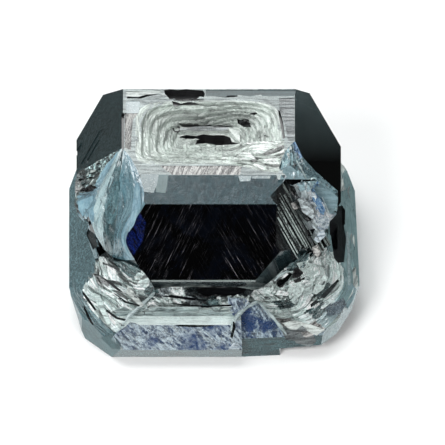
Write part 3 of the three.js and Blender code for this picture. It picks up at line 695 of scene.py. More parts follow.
# Sculpted places: a net of points, with rows along the first way of the grain and columns
# across it, and the look of each patch, one line for each strip between rows. The skin
# follows the net, smooth along the columns and creased across them; shards are long chips
# and crumbs short ones, given for each strip between columns.
blockNets = {
    "petal": {
        "core": (-2.2, -1.5, 3.7), "grid": (100, 90),
        "rows": [
            [(-3.04, -0.74, 5.18), (-3.03, -0.8, 5.17), (-3.02, -0.8, 5.2), (-2.97, -0.76, 5.24),
             (-2.9, -0.75, 5.27), (-2.84, -0.83, 5.27), (-2.74, -0.97, 5.27), (-2.57, -1.3, 5.27)],
            [(-3.498, -0.32, 4.39), (-3.465, -0.4, 4.32), (-3.4, -0.73, 4.56), (-3.267, -1.09, 4.78),
             (-3.135, -1.46, 5.06), (-2.94, -1.51, 5.02), (-2.607, -1.74, 5.25), (-2.343, -1.9, 5.22)],
            [(-3.96, -0.05, 3.74), (-3.96, -0.31, 3.49), (-3.894, -1.19, 3.86), (-3.663, -1.52, 4.23),
             (-3.4, -2.04, 4.66), (-3.07, -1.98, 4.51), (-2.508, -2.39, 5.06), (-2.178, -2.57, 4.96)],
            [(-4.356, 0.19, 3.18), (-4.29, -0.27, 3.12), (-4.422, -0.94, 3.23), (-3.795, -2.03, 4.0),
             (-3.498, -2.55, 4.28), (-3.07, -2.6, 4.15), (-2.607, -2.96, 4.6), (-2.31, -3.07, 4.66)],
            [(-4.455, -0.63, 3.2), (-4.455, -0.94, 3.05), (-4.422, -1.4, 3.18), (-3.861, -2.55, 3.63),
             (-3.53, -3.0, 3.75), (-3.168, -3.2, 3.63), (-2.937, -3.5, 3.93), (-2.772, -3.6, 3.88)],
            [(-4.356, -1.45, 3.0), (-4.29, -1.6, 2.9), (-4.191, -1.76, 2.93), (-3.729, -2.71, 2.9),
             (-3.465, -3.04, 2.81), (-3.234, -3.3, 2.75), (-2.838, -3.67, 2.97), (-2.475, -4.0, 3.32)],
        ],
        "looks": ["broken broken petalLight petalWhite petalDark petal petalLight"] * 5,
        "shards": [0.04, 0.05, 0.03, 0.035, 0.035, 0.03, 0.02],
        "crumbs": [0.1, 0.1, 0.01, 0.01, 0.01, 0.01, 0.01],
        "cell": 0.4, "stretch": 4.0, "contrast": 1.5, "ripple": 0.006, "lean": 0.0, "scatter": 0.2,
        "block": 0.9, "glint": 0.12, "seed": 3,
    },
    "fan": {
        "core": (1.4, -0.4, 2.5), "grid": (70, 60),
        "rows": [
            [(0.4, -0.42, 5.0), (0.4, -0.71, 5.1), (0.4, -0.96, 5.17), (0.4, -1.24, 5.21),
             (0.4, -1.45, 5.24)],
            [(1.16, -0.28, 5.05), (1.16, -0.64, 5.13), (1.12, -0.98, 5.19), (1.09, -1.29, 5.22),
             (1.06, -1.6, 5.25)],
            [(1.82, -0.32, 5.18), (1.82, -0.71, 5.2), (1.78, -1.11, 5.22), (1.72, -1.45, 5.24),
             (1.68, -1.8, 5.26)],
            [(2.44, -0.39, 5.25), (2.44, -0.81, 5.25), (2.41, -1.18, 5.25), (2.34, -1.57, 5.26),
             (2.24, -1.9, 5.27)],
        ],
        "looks": ["tread tread tread tread"] * 3,
        "shards": [0.03, 0.035, 0.035, 0.03],
        "crumbs": [0, 0.01, 0.01, 0.01],
        "cell": 0.15, "stretch": 5.0, "contrast": 1.3, "ripple": 0.0, "lean": 0.0, "scatter": 0.5,
        "block": 0.7, "glint": 0.3, "seed": 23,
    },
    "shoulder": {
        "core": (2.0, -1.0, 3.4), "grid": (100, 84),
        "rows": [
            [(2.81, -0.43, 5.27), (2.74, -0.5, 5.27), (2.64, -0.64, 5.27), (2.51, -0.83, 5.27),
             (2.38, -1.2, 5.27), (2.28, -1.67, 5.27)],
            [(3.07, -0.82, 4.93), (2.94, -0.98, 5.05), (2.77, -1.23, 5.2), (2.61, -1.39, 5.22),
             (2.44, -1.6, 5.2), (2.34, -1.78, 5.1)],
            [(3.37, -0.9, 4.5), (3.2, -1.17, 4.68), (3.0, -1.58, 4.95), (2.84, -1.87, 5.05),
             (2.67, -2.01, 5.05), (2.54, -2.0, 4.95)],
            [(3.66, -0.85, 4.08), (3.53, -1.21, 4.2), (3.37, -1.78, 4.45), (3.2, -2.21, 4.6),
             (3.0, -2.45, 4.6), (2.84, -2.53, 4.5)],
            [(3.96, -0.8, 3.65), (3.89, -1.31, 3.7), (3.76, -1.93, 3.9), (3.6, -2.46, 4.05),
             (3.4, -2.79, 4.1), (3.23, -2.92, 4.0)],
            [(4.22, -0.75, 3.28), (4.22, -1.45, 3.28), (4.16, -1.92, 3.33), (3.93, -2.52, 3.6),
             (3.76, -2.99, 3.6), (3.63, -3.3, 3.4)],
        ],
        "looks": ["blueChip paleTeal paleTeal paleTeal paleTeal", "chips paleTeal paleTeal chips hollow",
                  "teal paleTeal chips greyCrumbs hollow", "teal blueChip spark greyCrumbs plateFloor",
                  "teal paleTeal spark spark greyCrumbs"],
        "shards": [0.06, 0.07, 0.07, 0.06, 0.06],
        "crumbs": [0.06, 0.09, 0.09, 0.08, 0.08],
        "cell": 0.3, "stretch": 2.0, "contrast": 1.3, "ripple": 0.0, "lean": 0.3, "scatter": 1.6,
        "block": 0.6, "glint": 1.2, "seed": 7,
    },
}
skirtNets = {
    "leftSheaf": {
        "core": (-2.0, -2.4, -0.6), "grid": (150, 96),
        "rows": [
            [(-4.42, 2.01, 1.4), (-4.06, 1.46, 1.95), (-3.96, 1.36, 2.05), (-3.83, 1.29, 2.12),
             (-3.7, 1.21, 2.2), (-3.56, 1.13, 2.28), (-3.37, 1.01, 2.4)],
            [(-4.42, 0.01, 1.4), (-4.06, -0.59, 2.0), (-3.93, -0.71, 2.12), (-3.8, -0.84, 2.25),
             (-3.63, -1.04, 2.35), (-3.43, -1.23, 2.45), (-3.17, -1.47, 2.6)],
            [(-4.42, -2.0, 1.4), (-4.09, -2.68, 2.08), (-3.96, -2.8, 2.2), (-3.8, -2.9, 2.35),
             (-3.63, -3.01, 2.5), (-3.43, -3.16, 2.65), (-3.23, -3.35, 2.8)],
            [(-4.55, -2.71, 1.22), (-4.19, -3.41, 1.88), (-3.93, -3.54, 2.1), (-3.63, -3.6, 2.3),
             (-3.33, -3.66, 2.5), (-3.04, -3.82, 2.75), (-2.77, -3.81, 3.02)],
            [(-4.59, -3.34, 0.97), (-4.16, -4.02, 1.6), (-3.76, -4.08, 1.85), (-3.33, -4.19, 2.1),
             (-2.97, -4.16, 2.35), (-2.61, -4.25, 2.62), (-2.28, -4.26, 3.1)],
            [(-4.16, -4.3, 0.85), (-3.8, -4.56, 1.35), (-3.4, -4.53, 1.55), (-2.97, -4.55, 1.8),
             (-2.61, -4.52, 2.05), (-2.24, -4.49, 2.3), (-1.98, -4.45, 2.78)],
            [(-3.53, -4.94, 0.7), (-3.23, -5.04, 1.08), (-2.94, -4.92, 1.24), (-2.61, -4.76, 1.45),
             (-2.31, -4.59, 1.7), (-2.01, -4.49, 1.98), (-1.82, -4.45, 2.4)],
            [(-3.3, -5.16, 0.69), (-3.1, -5.22, 1.12), (-2.81, -5.12, 1.3), (-2.51, -4.94, 1.54),
             (-2.21, -4.78, 1.8), (-1.95, -4.61, 2.05), (-1.75, -4.52, 2.38)],
        ],
        "looks": ["rim rim shard darkShard hollow hollow", "rim shard darkShard hollow hollow hollow",
                  "rim shard shard shard shard darkShard", "rim shard shard shard shard darkShard",
                  "rim shard shard shard shard shard", "rim shard shard shard shard darkShard",
                  "rim ridge ridge ridge ridge ridge"],
        "shards": [0.01, 0.06, 0.08, 0.09, 0.09, 0.06],
        "crumbs": [0, 0.01, 0.01, 0.012, 0.015, 0.02],
        "cell": 0.17, "stretch": 7.0, "contrast": 1.7, "ripple": 0.006, "lean": 0.25, "scatter": 0.8,
        "block": 0.8, "glint": 0.5, "seed": 12,
    },
    "rightSheaf": {
        "core": (2.0, -2.4, -0.6), "grid": (150, 104),
        "rows": [
            [(4.55, 1.27, 1.4), (4.32, 0.77, 1.9), (4.16, 0.59, 2.08), (4.03, 0.49, 2.18),
             (3.89, 0.39, 2.28), (3.73, 0.27, 2.4), (3.5, 0.12, 2.55)],
            [(4.59, 0.05, 1.36), (4.36, -0.54, 1.95), (4.16, -0.72, 2.13), (3.96, -0.94, 2.3),
             (3.73, -1.14, 2.45), (3.47, -1.38, 2.6), (3.14, -1.62, 2.75)],
            [(4.62, -1.2, 1.3), (4.36, -1.95, 2.0), (4.12, -2.29, 2.25), (3.89, -2.58, 2.45),
             (3.63, -2.9, 2.67), (3.27, -3.27, 2.9), (2.87, -3.72, 3.12)],
            [(4.69, -2.17, 1.2), (4.39, -2.72, 1.75), (4.12, -2.95, 2.02), (3.86, -3.2, 2.27),
             (3.53, -3.45, 2.52), (3.14, -3.73, 2.8), (2.67, -3.91, 3.08)],
            [(4.69, -3.24, 1.19), (4.36, -3.5, 1.55), (4.06, -3.61, 1.8), (3.73, -3.72, 2.05),
             (3.33, -3.89, 2.36), (2.9, -4.0, 2.7), (2.44, -4.14, 3.03)],
            [(4.29, -4.22, 1.1), (4.03, -4.13, 1.38), (3.73, -4.11, 1.6), (3.37, -4.09, 1.86),
             (3.0, -4.16, 2.16), (2.57, -4.22, 2.55), (2.15, -4.44, 2.95)],
            [(3.8, -4.87, 1.0), (3.5, -4.71, 1.22), (3.2, -4.58, 1.46), (2.9, -4.51, 1.72),
             (2.57, -4.49, 2.02), (2.21, -4.51, 2.42), (1.88, -4.57, 2.76)],
            [(3.14, -5.11, 0.78), (2.9, -4.87, 1.05), (2.64, -4.71, 1.31), (2.38, -4.58, 1.55),
             (2.11, -4.48, 1.78), (1.85, -4.41, 2.08), (1.62, -4.47, 2.42)],
            [(2.51, -5.09, 0.66), (2.28, -4.83, 1.06), (2.08, -4.7, 1.3), (1.85, -4.55, 1.52),
             (1.62, -4.43, 1.68), (1.42, -4.32, 1.85), (1.22, -4.24, 2.1)],
        ],
        "looks": ["rimRight rimRight hollow rimRight hollow darkShard",
                  "rimRight hollow rimRight darkShard hollow darkShard",
                  "rimRight shard shard crumbs crumbs darkShard",
                  "rimRight shard shard crumbs crumbs darkShard",
                  "rimRight shard darkShard crumbs crumbs crumbs",
                  "cloudy darkShard shard shard crumbs crumbs",
                  "pinkHatch shard shard darkShard crumbs crumbs",
                  "greyHatch pinkHatch crumbs shard crumbs crumbs"],
        "shards": [0.015, 0.06, 0.07, 0.07, 0.05, 0.04],
        "crumbs": [0, 0.02, 0.03, 0.06, 0.14, 0.12],
        "cell": 0.15, "stretch": 9.0, "contrast": 1.8, "ripple": 0.006, "lean": 0.0, "scatter": 0.5,
        "block": 0.7, "glint": 0.5, "seed": 16,
    },
    "frontBank": {
        "core": (-0.4, -3.0, -1.0), "grid": (40, 120),
        "rows": [
            [(-2.18, -4.56, 2.0), (-1.75, -4.37, 2.32), (-1.32, -4.27, 2.32), (-0.83, -4.23, 2.28),
             (-0.43, -4.05, 2.1), (0.26, -3.85, 1.9), (0.86, -3.9, 1.95), (1.45, -4.36, 2.27)],
            [(-2.34, -4.64, 1.8), (-1.91, -4.47, 2.05), (-1.39, -4.45, 2.08), (-0.86, -4.42, 2.05),
             (-0.4, -4.32, 1.95), (0.26, -4.22, 1.85), (0.86, -4.32, 1.95), (1.32, -4.47, 2.1)],
            [(-2.44, -4.73, 1.66), (-2.01, -4.59, 1.75), (-1.42, -4.57, 1.68), (-0.86, -4.55, 1.66),
             (-0.36, -4.55, 1.66), (0.26, -4.55, 1.66), (0.89, -4.55, 1.66), (1.25, -4.63, 1.93)],
        ],
        "looks": ["darkShard greyCrumbs crumbs hollow pit pit hollow",
                  "crumbs crumbs crumbs greyCrumbs darkShard shard crumbs"],
        "shards": [0.1, 0.11, 0.1, 0.1, 0.09, 0.09, 0.1],
        "crumbs": [0.05, 0.06, 0.05, 0.04, 0.03, 0.04, 0.06],
        "cell": 0.13, "stretch": 5.0, "contrast": 1.6, "ripple": 0.0, "lean": 1.3, "scatter": 0.8,
        "block": 0.5, "glint": 0.4, "seed": 19,
    },
}

plates = {
    "reach": 2.62, "turn": 1,
    "edge": [(2.54, 6.5), (2.54, 5.235), (1.98, 4.966), (2.2, 4.83), (2.16, 4.3), (2.2, 3.9), (2.1, 3.4),
             (2.25, 1.0), (8, 1.0), (8, 6.5)],
    "root": 0.3,
    "sets": [(-0.62, 0.14, 7), (0.14, 0.9, 5)],
    "proud": (0.0, 0.1), "floorDepth": 2, "seed": 4,
}


# A contour's reach on the skirt at a share of the way down: the 1/p root of the summed
# p-th powers of the cosines over the reaches in eight directions.
def skirtReach(angles, shares):
    total = np.zeros(np.broadcast(angles, shares).shape)
    for direction, high, low in zip(skirt["directions"], skirt["highest"], skirt["lowest"]):
        turned = np.maximum(0, np.cos(angles - np.radians(direction)))
        total += (turned / (high + (low - high) * shares)) ** skirt["sharpness"]
    return total ** (-1 / skirt["sharpness"])


# A contour's reach in the hopper: the p-th powers of the cosine and the sine over the half
# sizes add up to the reach's power of minus p, with sharper corners in front.
def hopperReach(angles, shares):
    outer, inner = hopper["outer"], hopper["inner"]
    half = {side: outer[side] + (inner[side] - outer[side]) * shares for side in outer}
    across = np.where(np.cos(angles) > 0, half["right"], half["left"])
    deep = np.where(np.sin(angles) > 0, half["back"], half["front"])
    power = np.where(np.sin(angles) > 0, hopper["cornerBack"], hopper["cornerFront"])
    return (np.abs(np.cos(angles) / across) ** power
            + np.abs(np.sin(angles) / deep) ** power) ** (-1 / power)


# Stacks the rings of a stair that goes up from its last contour to its first: a riser,
# a tread to the next contour, and on some steps a groove at the next riser's foot, painted dark as shade.
def stair(name, angles, radii, heights, settings, names, foot, seed):
    dice = np.random.default_rng(seed)
    count = len(radii) - 1
    points = len(angles)
    around = np.stack([np.cos(angles), np.sin(angles)], -1)
    toneWaves = [(3, 0.07), (7, 0.08), (13, 0.08), (29, 0.07), (53, 0.05)]
    leanWaves = [(5, 0.5), (11, 0.5), (19, 0.4), (43, 0.3)]
    tones = 1 + crumble(angles, count + 1, seed + 1, toneWaves)
    lean = crumble(angles, 2 * count + 2, seed + 2, leanWaves) * settings["tilt"]
    gateWaves = [(2, 0.5), (5, 0.5), (9, 0.4)]
    gate = np.clip(crumble(angles, count + 1, seed + 3, gateWaves) * 1.6 + 0.4, 0.02, 1)
    rings, bands, shades = [], [], []

    # A ring along one contour at a height, pushed out by a shift.
    def ring(level, height, shift=0.0):
        flat = around * (radii[level] + shift)[:, None]
        rings.append(np.column_stack([flat, height + np.zeros(points)]))

    ring(count, np.full(points, foot))
    for level in range(count, -1, -1):
        ring(level, heights[level] + lean[2 * level])
        bands.append(names[1])
        shades.append(dice.uniform(*settings["riserTones"]) * tones[level])
        if not level:
            continue
        behind = heights[level] + lean[2 * level - 1]
        tone = dice.uniform(*settings["treadTones"]) * tones[level]
        if level in settings["grooved"]:
            width = settings["groove"] * gate[level]
            ring(level - 1, behind, width)
            ring(level - 1, behind - 2.0 * width, width * 0.9)
            ring(level - 1, behind - 2.0 * width)
            bands += [names[0], "pit", "pit"]
            shades += [tone, np.ones(points), np.ones(points)]
        else:
            ring(level - 1, behind)
            bands.append(names[0])
            shades.append(tone)
    return ringSolid(name, rings, bands, np.array(shades))


# The skirt's terraces: contours at running shares of the way down, crumbled where crumbs
# lie, each kept outside the one above, at heights that fall by uneven steps.
def skirtTerraces():
    angles = np.concatenate([np.linspace(np.pi, 2 * np.pi, skirt["frontPoints"], endpoint=False),
                             np.linspace(0, np.pi, skirt["backPoints"], endpoint=False)])
    count = skirt["terraces"]
    shares = terraceShares(count, angles, 11, skirt["waves"], skirt["uneven"])
    steps = np.concatenate([[0], np.cumsum(np.random.default_rng(5).uniform(0.5, 1.5, count))])
    heights = skirt["top"] - skirt["drop"] * steps / steps[-1]
    rough = 0.12 + 1.0 * near(angles, -97, 14) + 0.9 * near(angles, -45, 14)
    radii = skirtReach(angles, shares) + rough * crumble(angles, count + 1, 3, skirt["fineWaves"])
    flat = np.stack([angles * 4.5 + 0 * radii, radii], -1)
    lift = chipRelief(flat, skirt["crumb"], 5)[0]
    east, north = radii * np.cos(angles), radii * np.sin(angles)
    zone = sum(np.exp(-((east - x) ** 2 + (north - y) ** 2) / size ** 2)
               for x, y, size in skirt["crumbled"])
    radii = radii + 0.16 * lift * np.minimum(zone, 1)
    radii = np.maximum.accumulate(radii + np.arange(count + 1)[:, None] * 2e-3, 0)
    return stair("skirtTerraces", angles, radii, heights, skirt, ("skirtTread", "skirtRiser"), -0.5, 8)


# The hopper: rings from its outer contour down to its floor. Its height falls in a few
# rounded steps, whose edges wander, with long thin chips along them; tones follow the chips.
# Its risers, the seams between chips and its lower back are darkened as painted shade.
def hopperCutter():
    angles = np.linspace(0, 2 * np.pi, hopper["around"], endpoint=False)
    shares = np.linspace(0, 1, hopper["rings"])[:, None] + 0 * angles
    radii = hopperReach(angles, shares)
    dice = np.random.default_rng(14)
    wander = sum(size * np.sin(wave * angles + dice.uniform(0, 6) + 2 * shares)
                 for wave, size in hopper["waves"])
    turns = (angles + 0 * radii) * 1.7 / hopper["stretch"]
    long, tone, seams = chipRelief(np.stack([turns, radii + 0.03 * wander], -1), hopper["cell"], 5)
    fine, toneFine, seamsFine = chipRelief(np.stack([turns, radii], -1), hopper["cell"] * 0.45, 9)
    steps = hopper["terraces"] + 1.4 * np.cos(angles + 0.4) + 0.8 * np.sin(2 * angles + 1)
    climb = (shares + 0.03 * wander + 0.03 * long) * steps
    level, part = np.floor(climb), climb - np.floor(climb)
    riser = np.clip((part - 0.72) / 0.28, 0, 1)
    fall = (level + riser * riser * (3 - 2 * riser)) / steps
    edge = np.minimum(1, 8 * shares * (1.001 - shares))
    chips = 0.022 * long + 0.012 * fine - 0.02 * seams
    heights = topHeight - hopper["depth"] * np.clip(fall, 0, 1) + chips * edge - 0.002
    heights[0] = topHeight
    waver = sum(np.sin(wave * angles + dice.uniform(0, 6) + 9 * shares) for wave in (2, 5, 9))
    gate = np.clip(waver * 0.5 + 0.45, 0, 1)
    gate *= 1 - 0.6 * near(angles, -90, 50) - 0.45 * near(angles, 180, 40)
    winds = [(1, 14), (2, -11), (3, 19)]
    band = sum(np.sin(wave * angles + dice.uniform(0, 6) + wind * shares) for wave, wind in winds) / 3
    # Painted shade: the lower back of the hollow is darkened.
    paintedBackShade = 1 - hopper["shade"] * near(angles, 90, 70) * np.clip((shares - 0.3) * 4, 0, 1)
    gap = np.maximum(seams, 0.7 * seamsFine)
    bright = 1 + 0.14 * band + 0.25 * (tone - 0.5) + 0.2 * (toneFine - 0.5)
    # Painted shade on the risers and in the seams between chips.
    bright = bright - 0.55 * riser * gate - 0.45 * gap * gate
    around = np.stack([np.cos(angles), np.sin(angles)], -1)
    flat = around * radii[..., None] + np.array(hopper["centre"])
    rings = np.concatenate([flat, heights[..., None]], -1)
    cap = np.concatenate([flat[:1], np.full((1, len(angles), 1), hopper["cap"])], -1)
    shades = np.clip(np.concatenate([bright[:1], (bright * paintedBackShade)[:-1]]), 0.1, 1.3)
    return ringSolid("hopperCutter", np.concatenate([cap, rings]), ["tread"] * len(radii), shades)


# Straight ledges along the left half of the skirt's front, cut one behind another.
def shelfCutters():
    first, last = skirt["shelfEnds"]
    made = []
    for k, (edge, height) in enumerate(skirt["shelves"]):
        across = np.linspace(first - 0.05 * k, last + 0.03 * k, 60)
        dice = np.random.default_rng(90 + k)
        wavy = edge + 0.012 * np.sin(across * 3 + dice.uniform(0, 6))
        wavy += 0.008 * np.sin(across * 11 + dice.uniform(0, 6)) * k
        outline = np.vstack([np.column_stack([across, wavy])[::-1], [(across[0], -7), (across[-1], -7)]])
        names = ["ledgeGrey" if k else "ledge"] * 62
        made.append(prismSolid(f"shelf{k}", outline, axisFoot, eastward, northward, upward,
                               height, 3.0, names, floor=names[0]))
    return made


# An egg round a point: rings along its length, whose radius is the sine of the way along,
# uneven by sines round it (ripple) and by short sines both ways (small).
def roughEgg(name, place, along, across, out, size, look, ripple, small, seed, rings=40, points=96):
    way = (np.arange(rings) + 0.5) / rings * np.pi
    around = np.linspace(0, 2 * np.pi, points, endpoint=False)
    dice = np.random.default_rng(seed)
    uneven = np.ones((rings, points))
    for wave in (3, 5, 8, 13, 19):
        bend = dice.uniform(-1.2, 1.2)
        uneven += ripple / wave ** 0.5 * np.sin(wave * around + dice.uniform(0, 6.28) + bend * way[:, None])
    for wave in (11, 17, 27):
        turn = dice.uniform(0, 6.28, 2)
        uneven += small * np.sin(wave * around + turn[0]) * np.sin(1.3 * wave * way[:, None] + turn[1])
    radius = np.sin(way)[:, None] * uneven
    centre = np.asarray(place, float) - np.cos(way)[:, None, None] * size[0] * along
    wide, deep = (radius * np.cos(around))[..., None], (radius * np.sin(around))[..., None]
    ring = centre + wide * size[1] * across + deep * size[2] * out
    return ringSolid(name, ring, [look] * (rings - 1))


# The skin on a net: a cubic through the rows, straight from column to column, then moved
# in or out from the core by long and short chips and ripples that die away at the edges. The
# chips lean across the columns, by an angle that scatters from block to block. Low places
# and the seams between chips are darkened as painted shade, and a painted glint lies
# beside each seam.
def netSkin(net):
    tall, wide = net["grid"]
    rows = np.array(net["rows"])
    down = np.linspace(0, len(rows) - 1, tall)
    home = np.clip(down.astype(int), 0, len(rows) - 2)
    t = (down - home)[:, None, None]
    before, after = rows[np.maximum(home - 1, 0)], rows[np.minimum(home + 2, len(rows) - 1)]
    first, second = rows[home], rows[home + 1]
    bow = 2 * before - 5 * first + 4 * second - after + t * (3 * (first - second) + after - before)
    smooth = first + 0.5 * t * (second - before + t * bow)
    over = np.linspace(0, rows.shape[1] - 1, wide)
    column = np.clip(over.astype(int), 0, rows.shape[1] - 2)
    part = (over - column)[None, :, None]
    skin = smooth[:, column] * (1 - part) + smooth[:, column + 1] * part
    lengths = np.linalg.norm(np.diff(skin, axis=1, prepend=skin[:, :1]), axis=-1).cumsum(1).mean(0)
    drops = np.linalg.norm(np.diff(skin, axis=0, prepend=skin[:1]), axis=-1).cumsum(0).mean(1)
    flat = np.stack(np.meshgrid(drops, lengths, indexing="ij"), -1)
    bent = flat + 0.07 * np.sin(flat[..., ::-1] * (2.5, 4) + net["seed"])
    blocks = chipRelief(flat / (1.5, 1.0), net["block"], net["seed"] + 50)[1]
    turn = net["lean"] + net["scatter"] * (blocks - 0.5)
    along, aside = bent[..., 0], bent[..., 1]
    bent = np.stack([along * np.cos(turn) + aside * np.sin(turn),
                     aside * np.cos(turn) - along * np.sin(turn)], -1)
    blend = np.clip(over - 0.5, 0, rows.shape[1] - 2)
    long, short = (np.interp(blend, np.arange(rows.shape[1] - 1), net[key]) for key in ("shards", "crumbs"))
    lift, tone, dark = np.zeros((tall, wide)), np.zeros((tall, wide)), np.zeros((tall, wide))
    sorts = [(long, net["stretch"], 1.0), (long * 0.5, net["stretch"], 0.5), (short, 1.0, 2.4),
             (short * 0.5, 1.0, 1.0)]
    for k, (amount, stretch, cell) in enumerate(sorts):
        height, patch, seams = chipRelief(bent / (stretch, 1.0), net["cell"] * cell, net["seed"] + 11 * k)
        share = amount / (long.max() + short.max())
        lift += (height - 0.5 * seams) * amount
        tone += (patch - 0.5) * share * 2
        showing = cellNumber(np.floor(bent * 2.3), 7.7 + k) > 0.35
        dark = np.maximum(dark, seams * np.minimum(1, 2 * share) * showing)
    lines = np.zeros(flat.shape[:2])
    dice = np.random.default_rng(net["seed"])
    for wave in (9, 15, 24, 38):
        sway = 1.5 * np.sin(2 * flat[..., 0] + dice.uniform(0, 6))
        lines += np.sin(wave * flat[..., 1] + sway + dice.uniform(0, 6)) / 2
    ends = np.minimum(1, 4 * np.sin(np.pi * down / (len(rows) - 1)))[:, None]
    edge = ends * np.minimum(1, 6 * np.sin(np.pi * over / (rows.shape[1] - 1)))[None]
    out = skin - np.array(net["core"])
    out /= np.linalg.norm(out, axis=-1)[..., None]
    skin = skin + out * ((lift + lines * net["ripple"]) * edge)[..., None]
    # Painted shade: lower chips and ripples darker, higher ones lighter.
    shades = 1 + net["contrast"] * (tone + 1.2 * lift + 4 * lines * net["ripple"])
    names = np.array([[lookNames.index(name) for name in strip.split()] for strip in net["looks"]])
    rowOf = np.clip((down[:, None] + 1.5 * lift).astype(int), 0, len(names) - 1)
    columnOf = np.clip((over[None] + 1.5 * lift).astype(int), 0, names.shape[1] - 1)
    flow = np.concatenate([bent, np.full((tall, wide, 1), 5.0 + net["seed"])], -1)
    # Painted highlight beside each seam's painted shade.
    glint = net["glint"] * np.roll(dark, (1, 1), (0, 1))
    return skin, names[rowOf, columnOf], np.clip(shades * (1 - 0.8 * dark) + glint, 0.08, 1.9), flow


# The solid between a skin and the same skin drawn towards or away from its core.
def skinSolid(name, skin, looked, shades, flow, core, scale):
    tall, wide = skin.shape[:2]
    core = np.array(core)
    other = core + (skin - core) * scale
    index = np.arange(tall * wide).reshape(tall, wide)
    quads = np.stack([index[:-1, :-1], index[1:, :-1], index[1:, 1:], index[:-1, 1:]], -1).reshape(-1, 4)
    rim = np.concatenate([index[0, :-1], index[:-1, -1], index[-1, :0:-1], index[:0:-1, 0]])
    ahead = np.roll(rim, -1)
    walls = np.stack([rim, ahead, ahead + tall * wide, rim + tall * wide], -1)
    faces = np.concatenate([quads, quads[:, ::-1] + tall * wide, walls])
    kind = np.concatenate([looked[:-1, :-1].ravel()] * 2 + [looked.ravel()[rim]])
    shade = np.concatenate([shades[:-1, :-1].ravel()] * 2 + [shades.ravel()[rim]])
    corners = np.concatenate([skin.reshape(-1, 3), other.reshape(-1, 3)])
    return makeSolid(name, corners, faces.tolist(), kind, shade, np.concatenate([flow.reshape(-1, 3)] * 2))



# A hollow's cutter: a rough egg along the frame's own directions, its walls painted near black as shade.
def pitCutter(name, pit, seed):
    return roughEgg(name, (pit["x"], pit["y"], pit["z"]), eastward, northward, upward,
                    (pit["long"], pit["wide"], pit["deep"]), "pit", pit["rough"], pit["rough"] * 0.3, seed,
                    24, 40)


# A growth step's cutter: its outline on its plane, from as deep as the step to just above.
def patchCutter(name, patch):
    face, look, deep, outline = patch
    place, across, down, out = slopeFrame(*face)
    return prismSolid(name, outline, place, across, down, out, -deep, 0.3, look)


# An outline square to the line of sight, its plane leant by a rise along the line for each
# step across and down.
def sightSolid(name, sight):
    look, tilt, (low, high), shade, outline = sight
    slant = 0.5 ** 0.5
    out = np.array([0, -slant, slant])
    across = eastward + tilt[0] * out
    down = np.array([0, -slant, -slant]) + tilt[1] * out
    return prismSolid(name, outline, upward * topHeight, across, down, out, low, high, look, shade=shade)


# A bar along a path, eight-sided, its thickness the fourth root of the sine of the way along.
def ridgeSolid(name, thick, path):
    path = np.array(path)
    way = np.linspace(0, 1, 24)
    middle = np.column_stack([np.interp(way, np.linspace(0, 1, len(path)), path[:, k]) for k in range(3)])
    ahead = np.gradient(middle, axis=0)
    ahead /= np.linalg.norm(ahead, axis=1)[:, None]
    side = np.cross(ahead, upward)
    side /= np.linalg.norm(side, axis=1)[:, None]
    circle = np.linspace(0, 2 * np.pi, 8, endpoint=False)[None, :, None]
    radius = thick * (0.15 + np.sin(np.pi * way) ** 0.25 * (1 + 0.25 * np.sin(way * 19)))[:, None, None]
    rings = middle[:, None] + radius * (np.cos(circle) * side[:, None]
                                        + np.sin(circle) * np.cross(side, ahead)[:, None])
    return ringSolid(name, rings, ["ridge"] * (len(way) - 1))


# A round groove, painted near black as shade: a ring bent into a bigger ring. The reach is
# the big radius plus the thickness times the cosine of the small ring's angle, the height its sine.
def ringGroove(place, radius, thick, points=32, sides=10):
    turn = np.linspace(0, 2 * np.pi, points, endpoint=False)[:, None]
    small = np.linspace(0, 2 * np.pi, sides, endpoint=False)[None, :]
    reach = radius + thick * np.cos(small)
    height = thick * np.sin(small) + 0 * turn
    corners = np.stack([reach * np.cos(turn), reach * np.sin(turn), height], -1) + np.asarray(place)
    index = np.arange(points * sides).reshape(points, sides)
    onward = np.roll(index, -1, 0)
    faces = np.stack([index, onward, np.roll(onward, -1, 1), np.roll(index, -1, 1)], -1).reshape(-1, 4)
    return makeSolid("ringGroove", corners.reshape(-1, 3), faces.tolist(), lookNames.index("pit"))


# A straight box between two corners given along its three directions.
def box(name, place, along, across, out, low, high, look, shade=1.0):
    outline = [(low[0], low[1]), (high[0], low[1]), (high[0], high[1]), (low[0], high[1])]
    return prismSolid(name, outline, place, along, across, out, low[2], high[2], look, shade=shade)


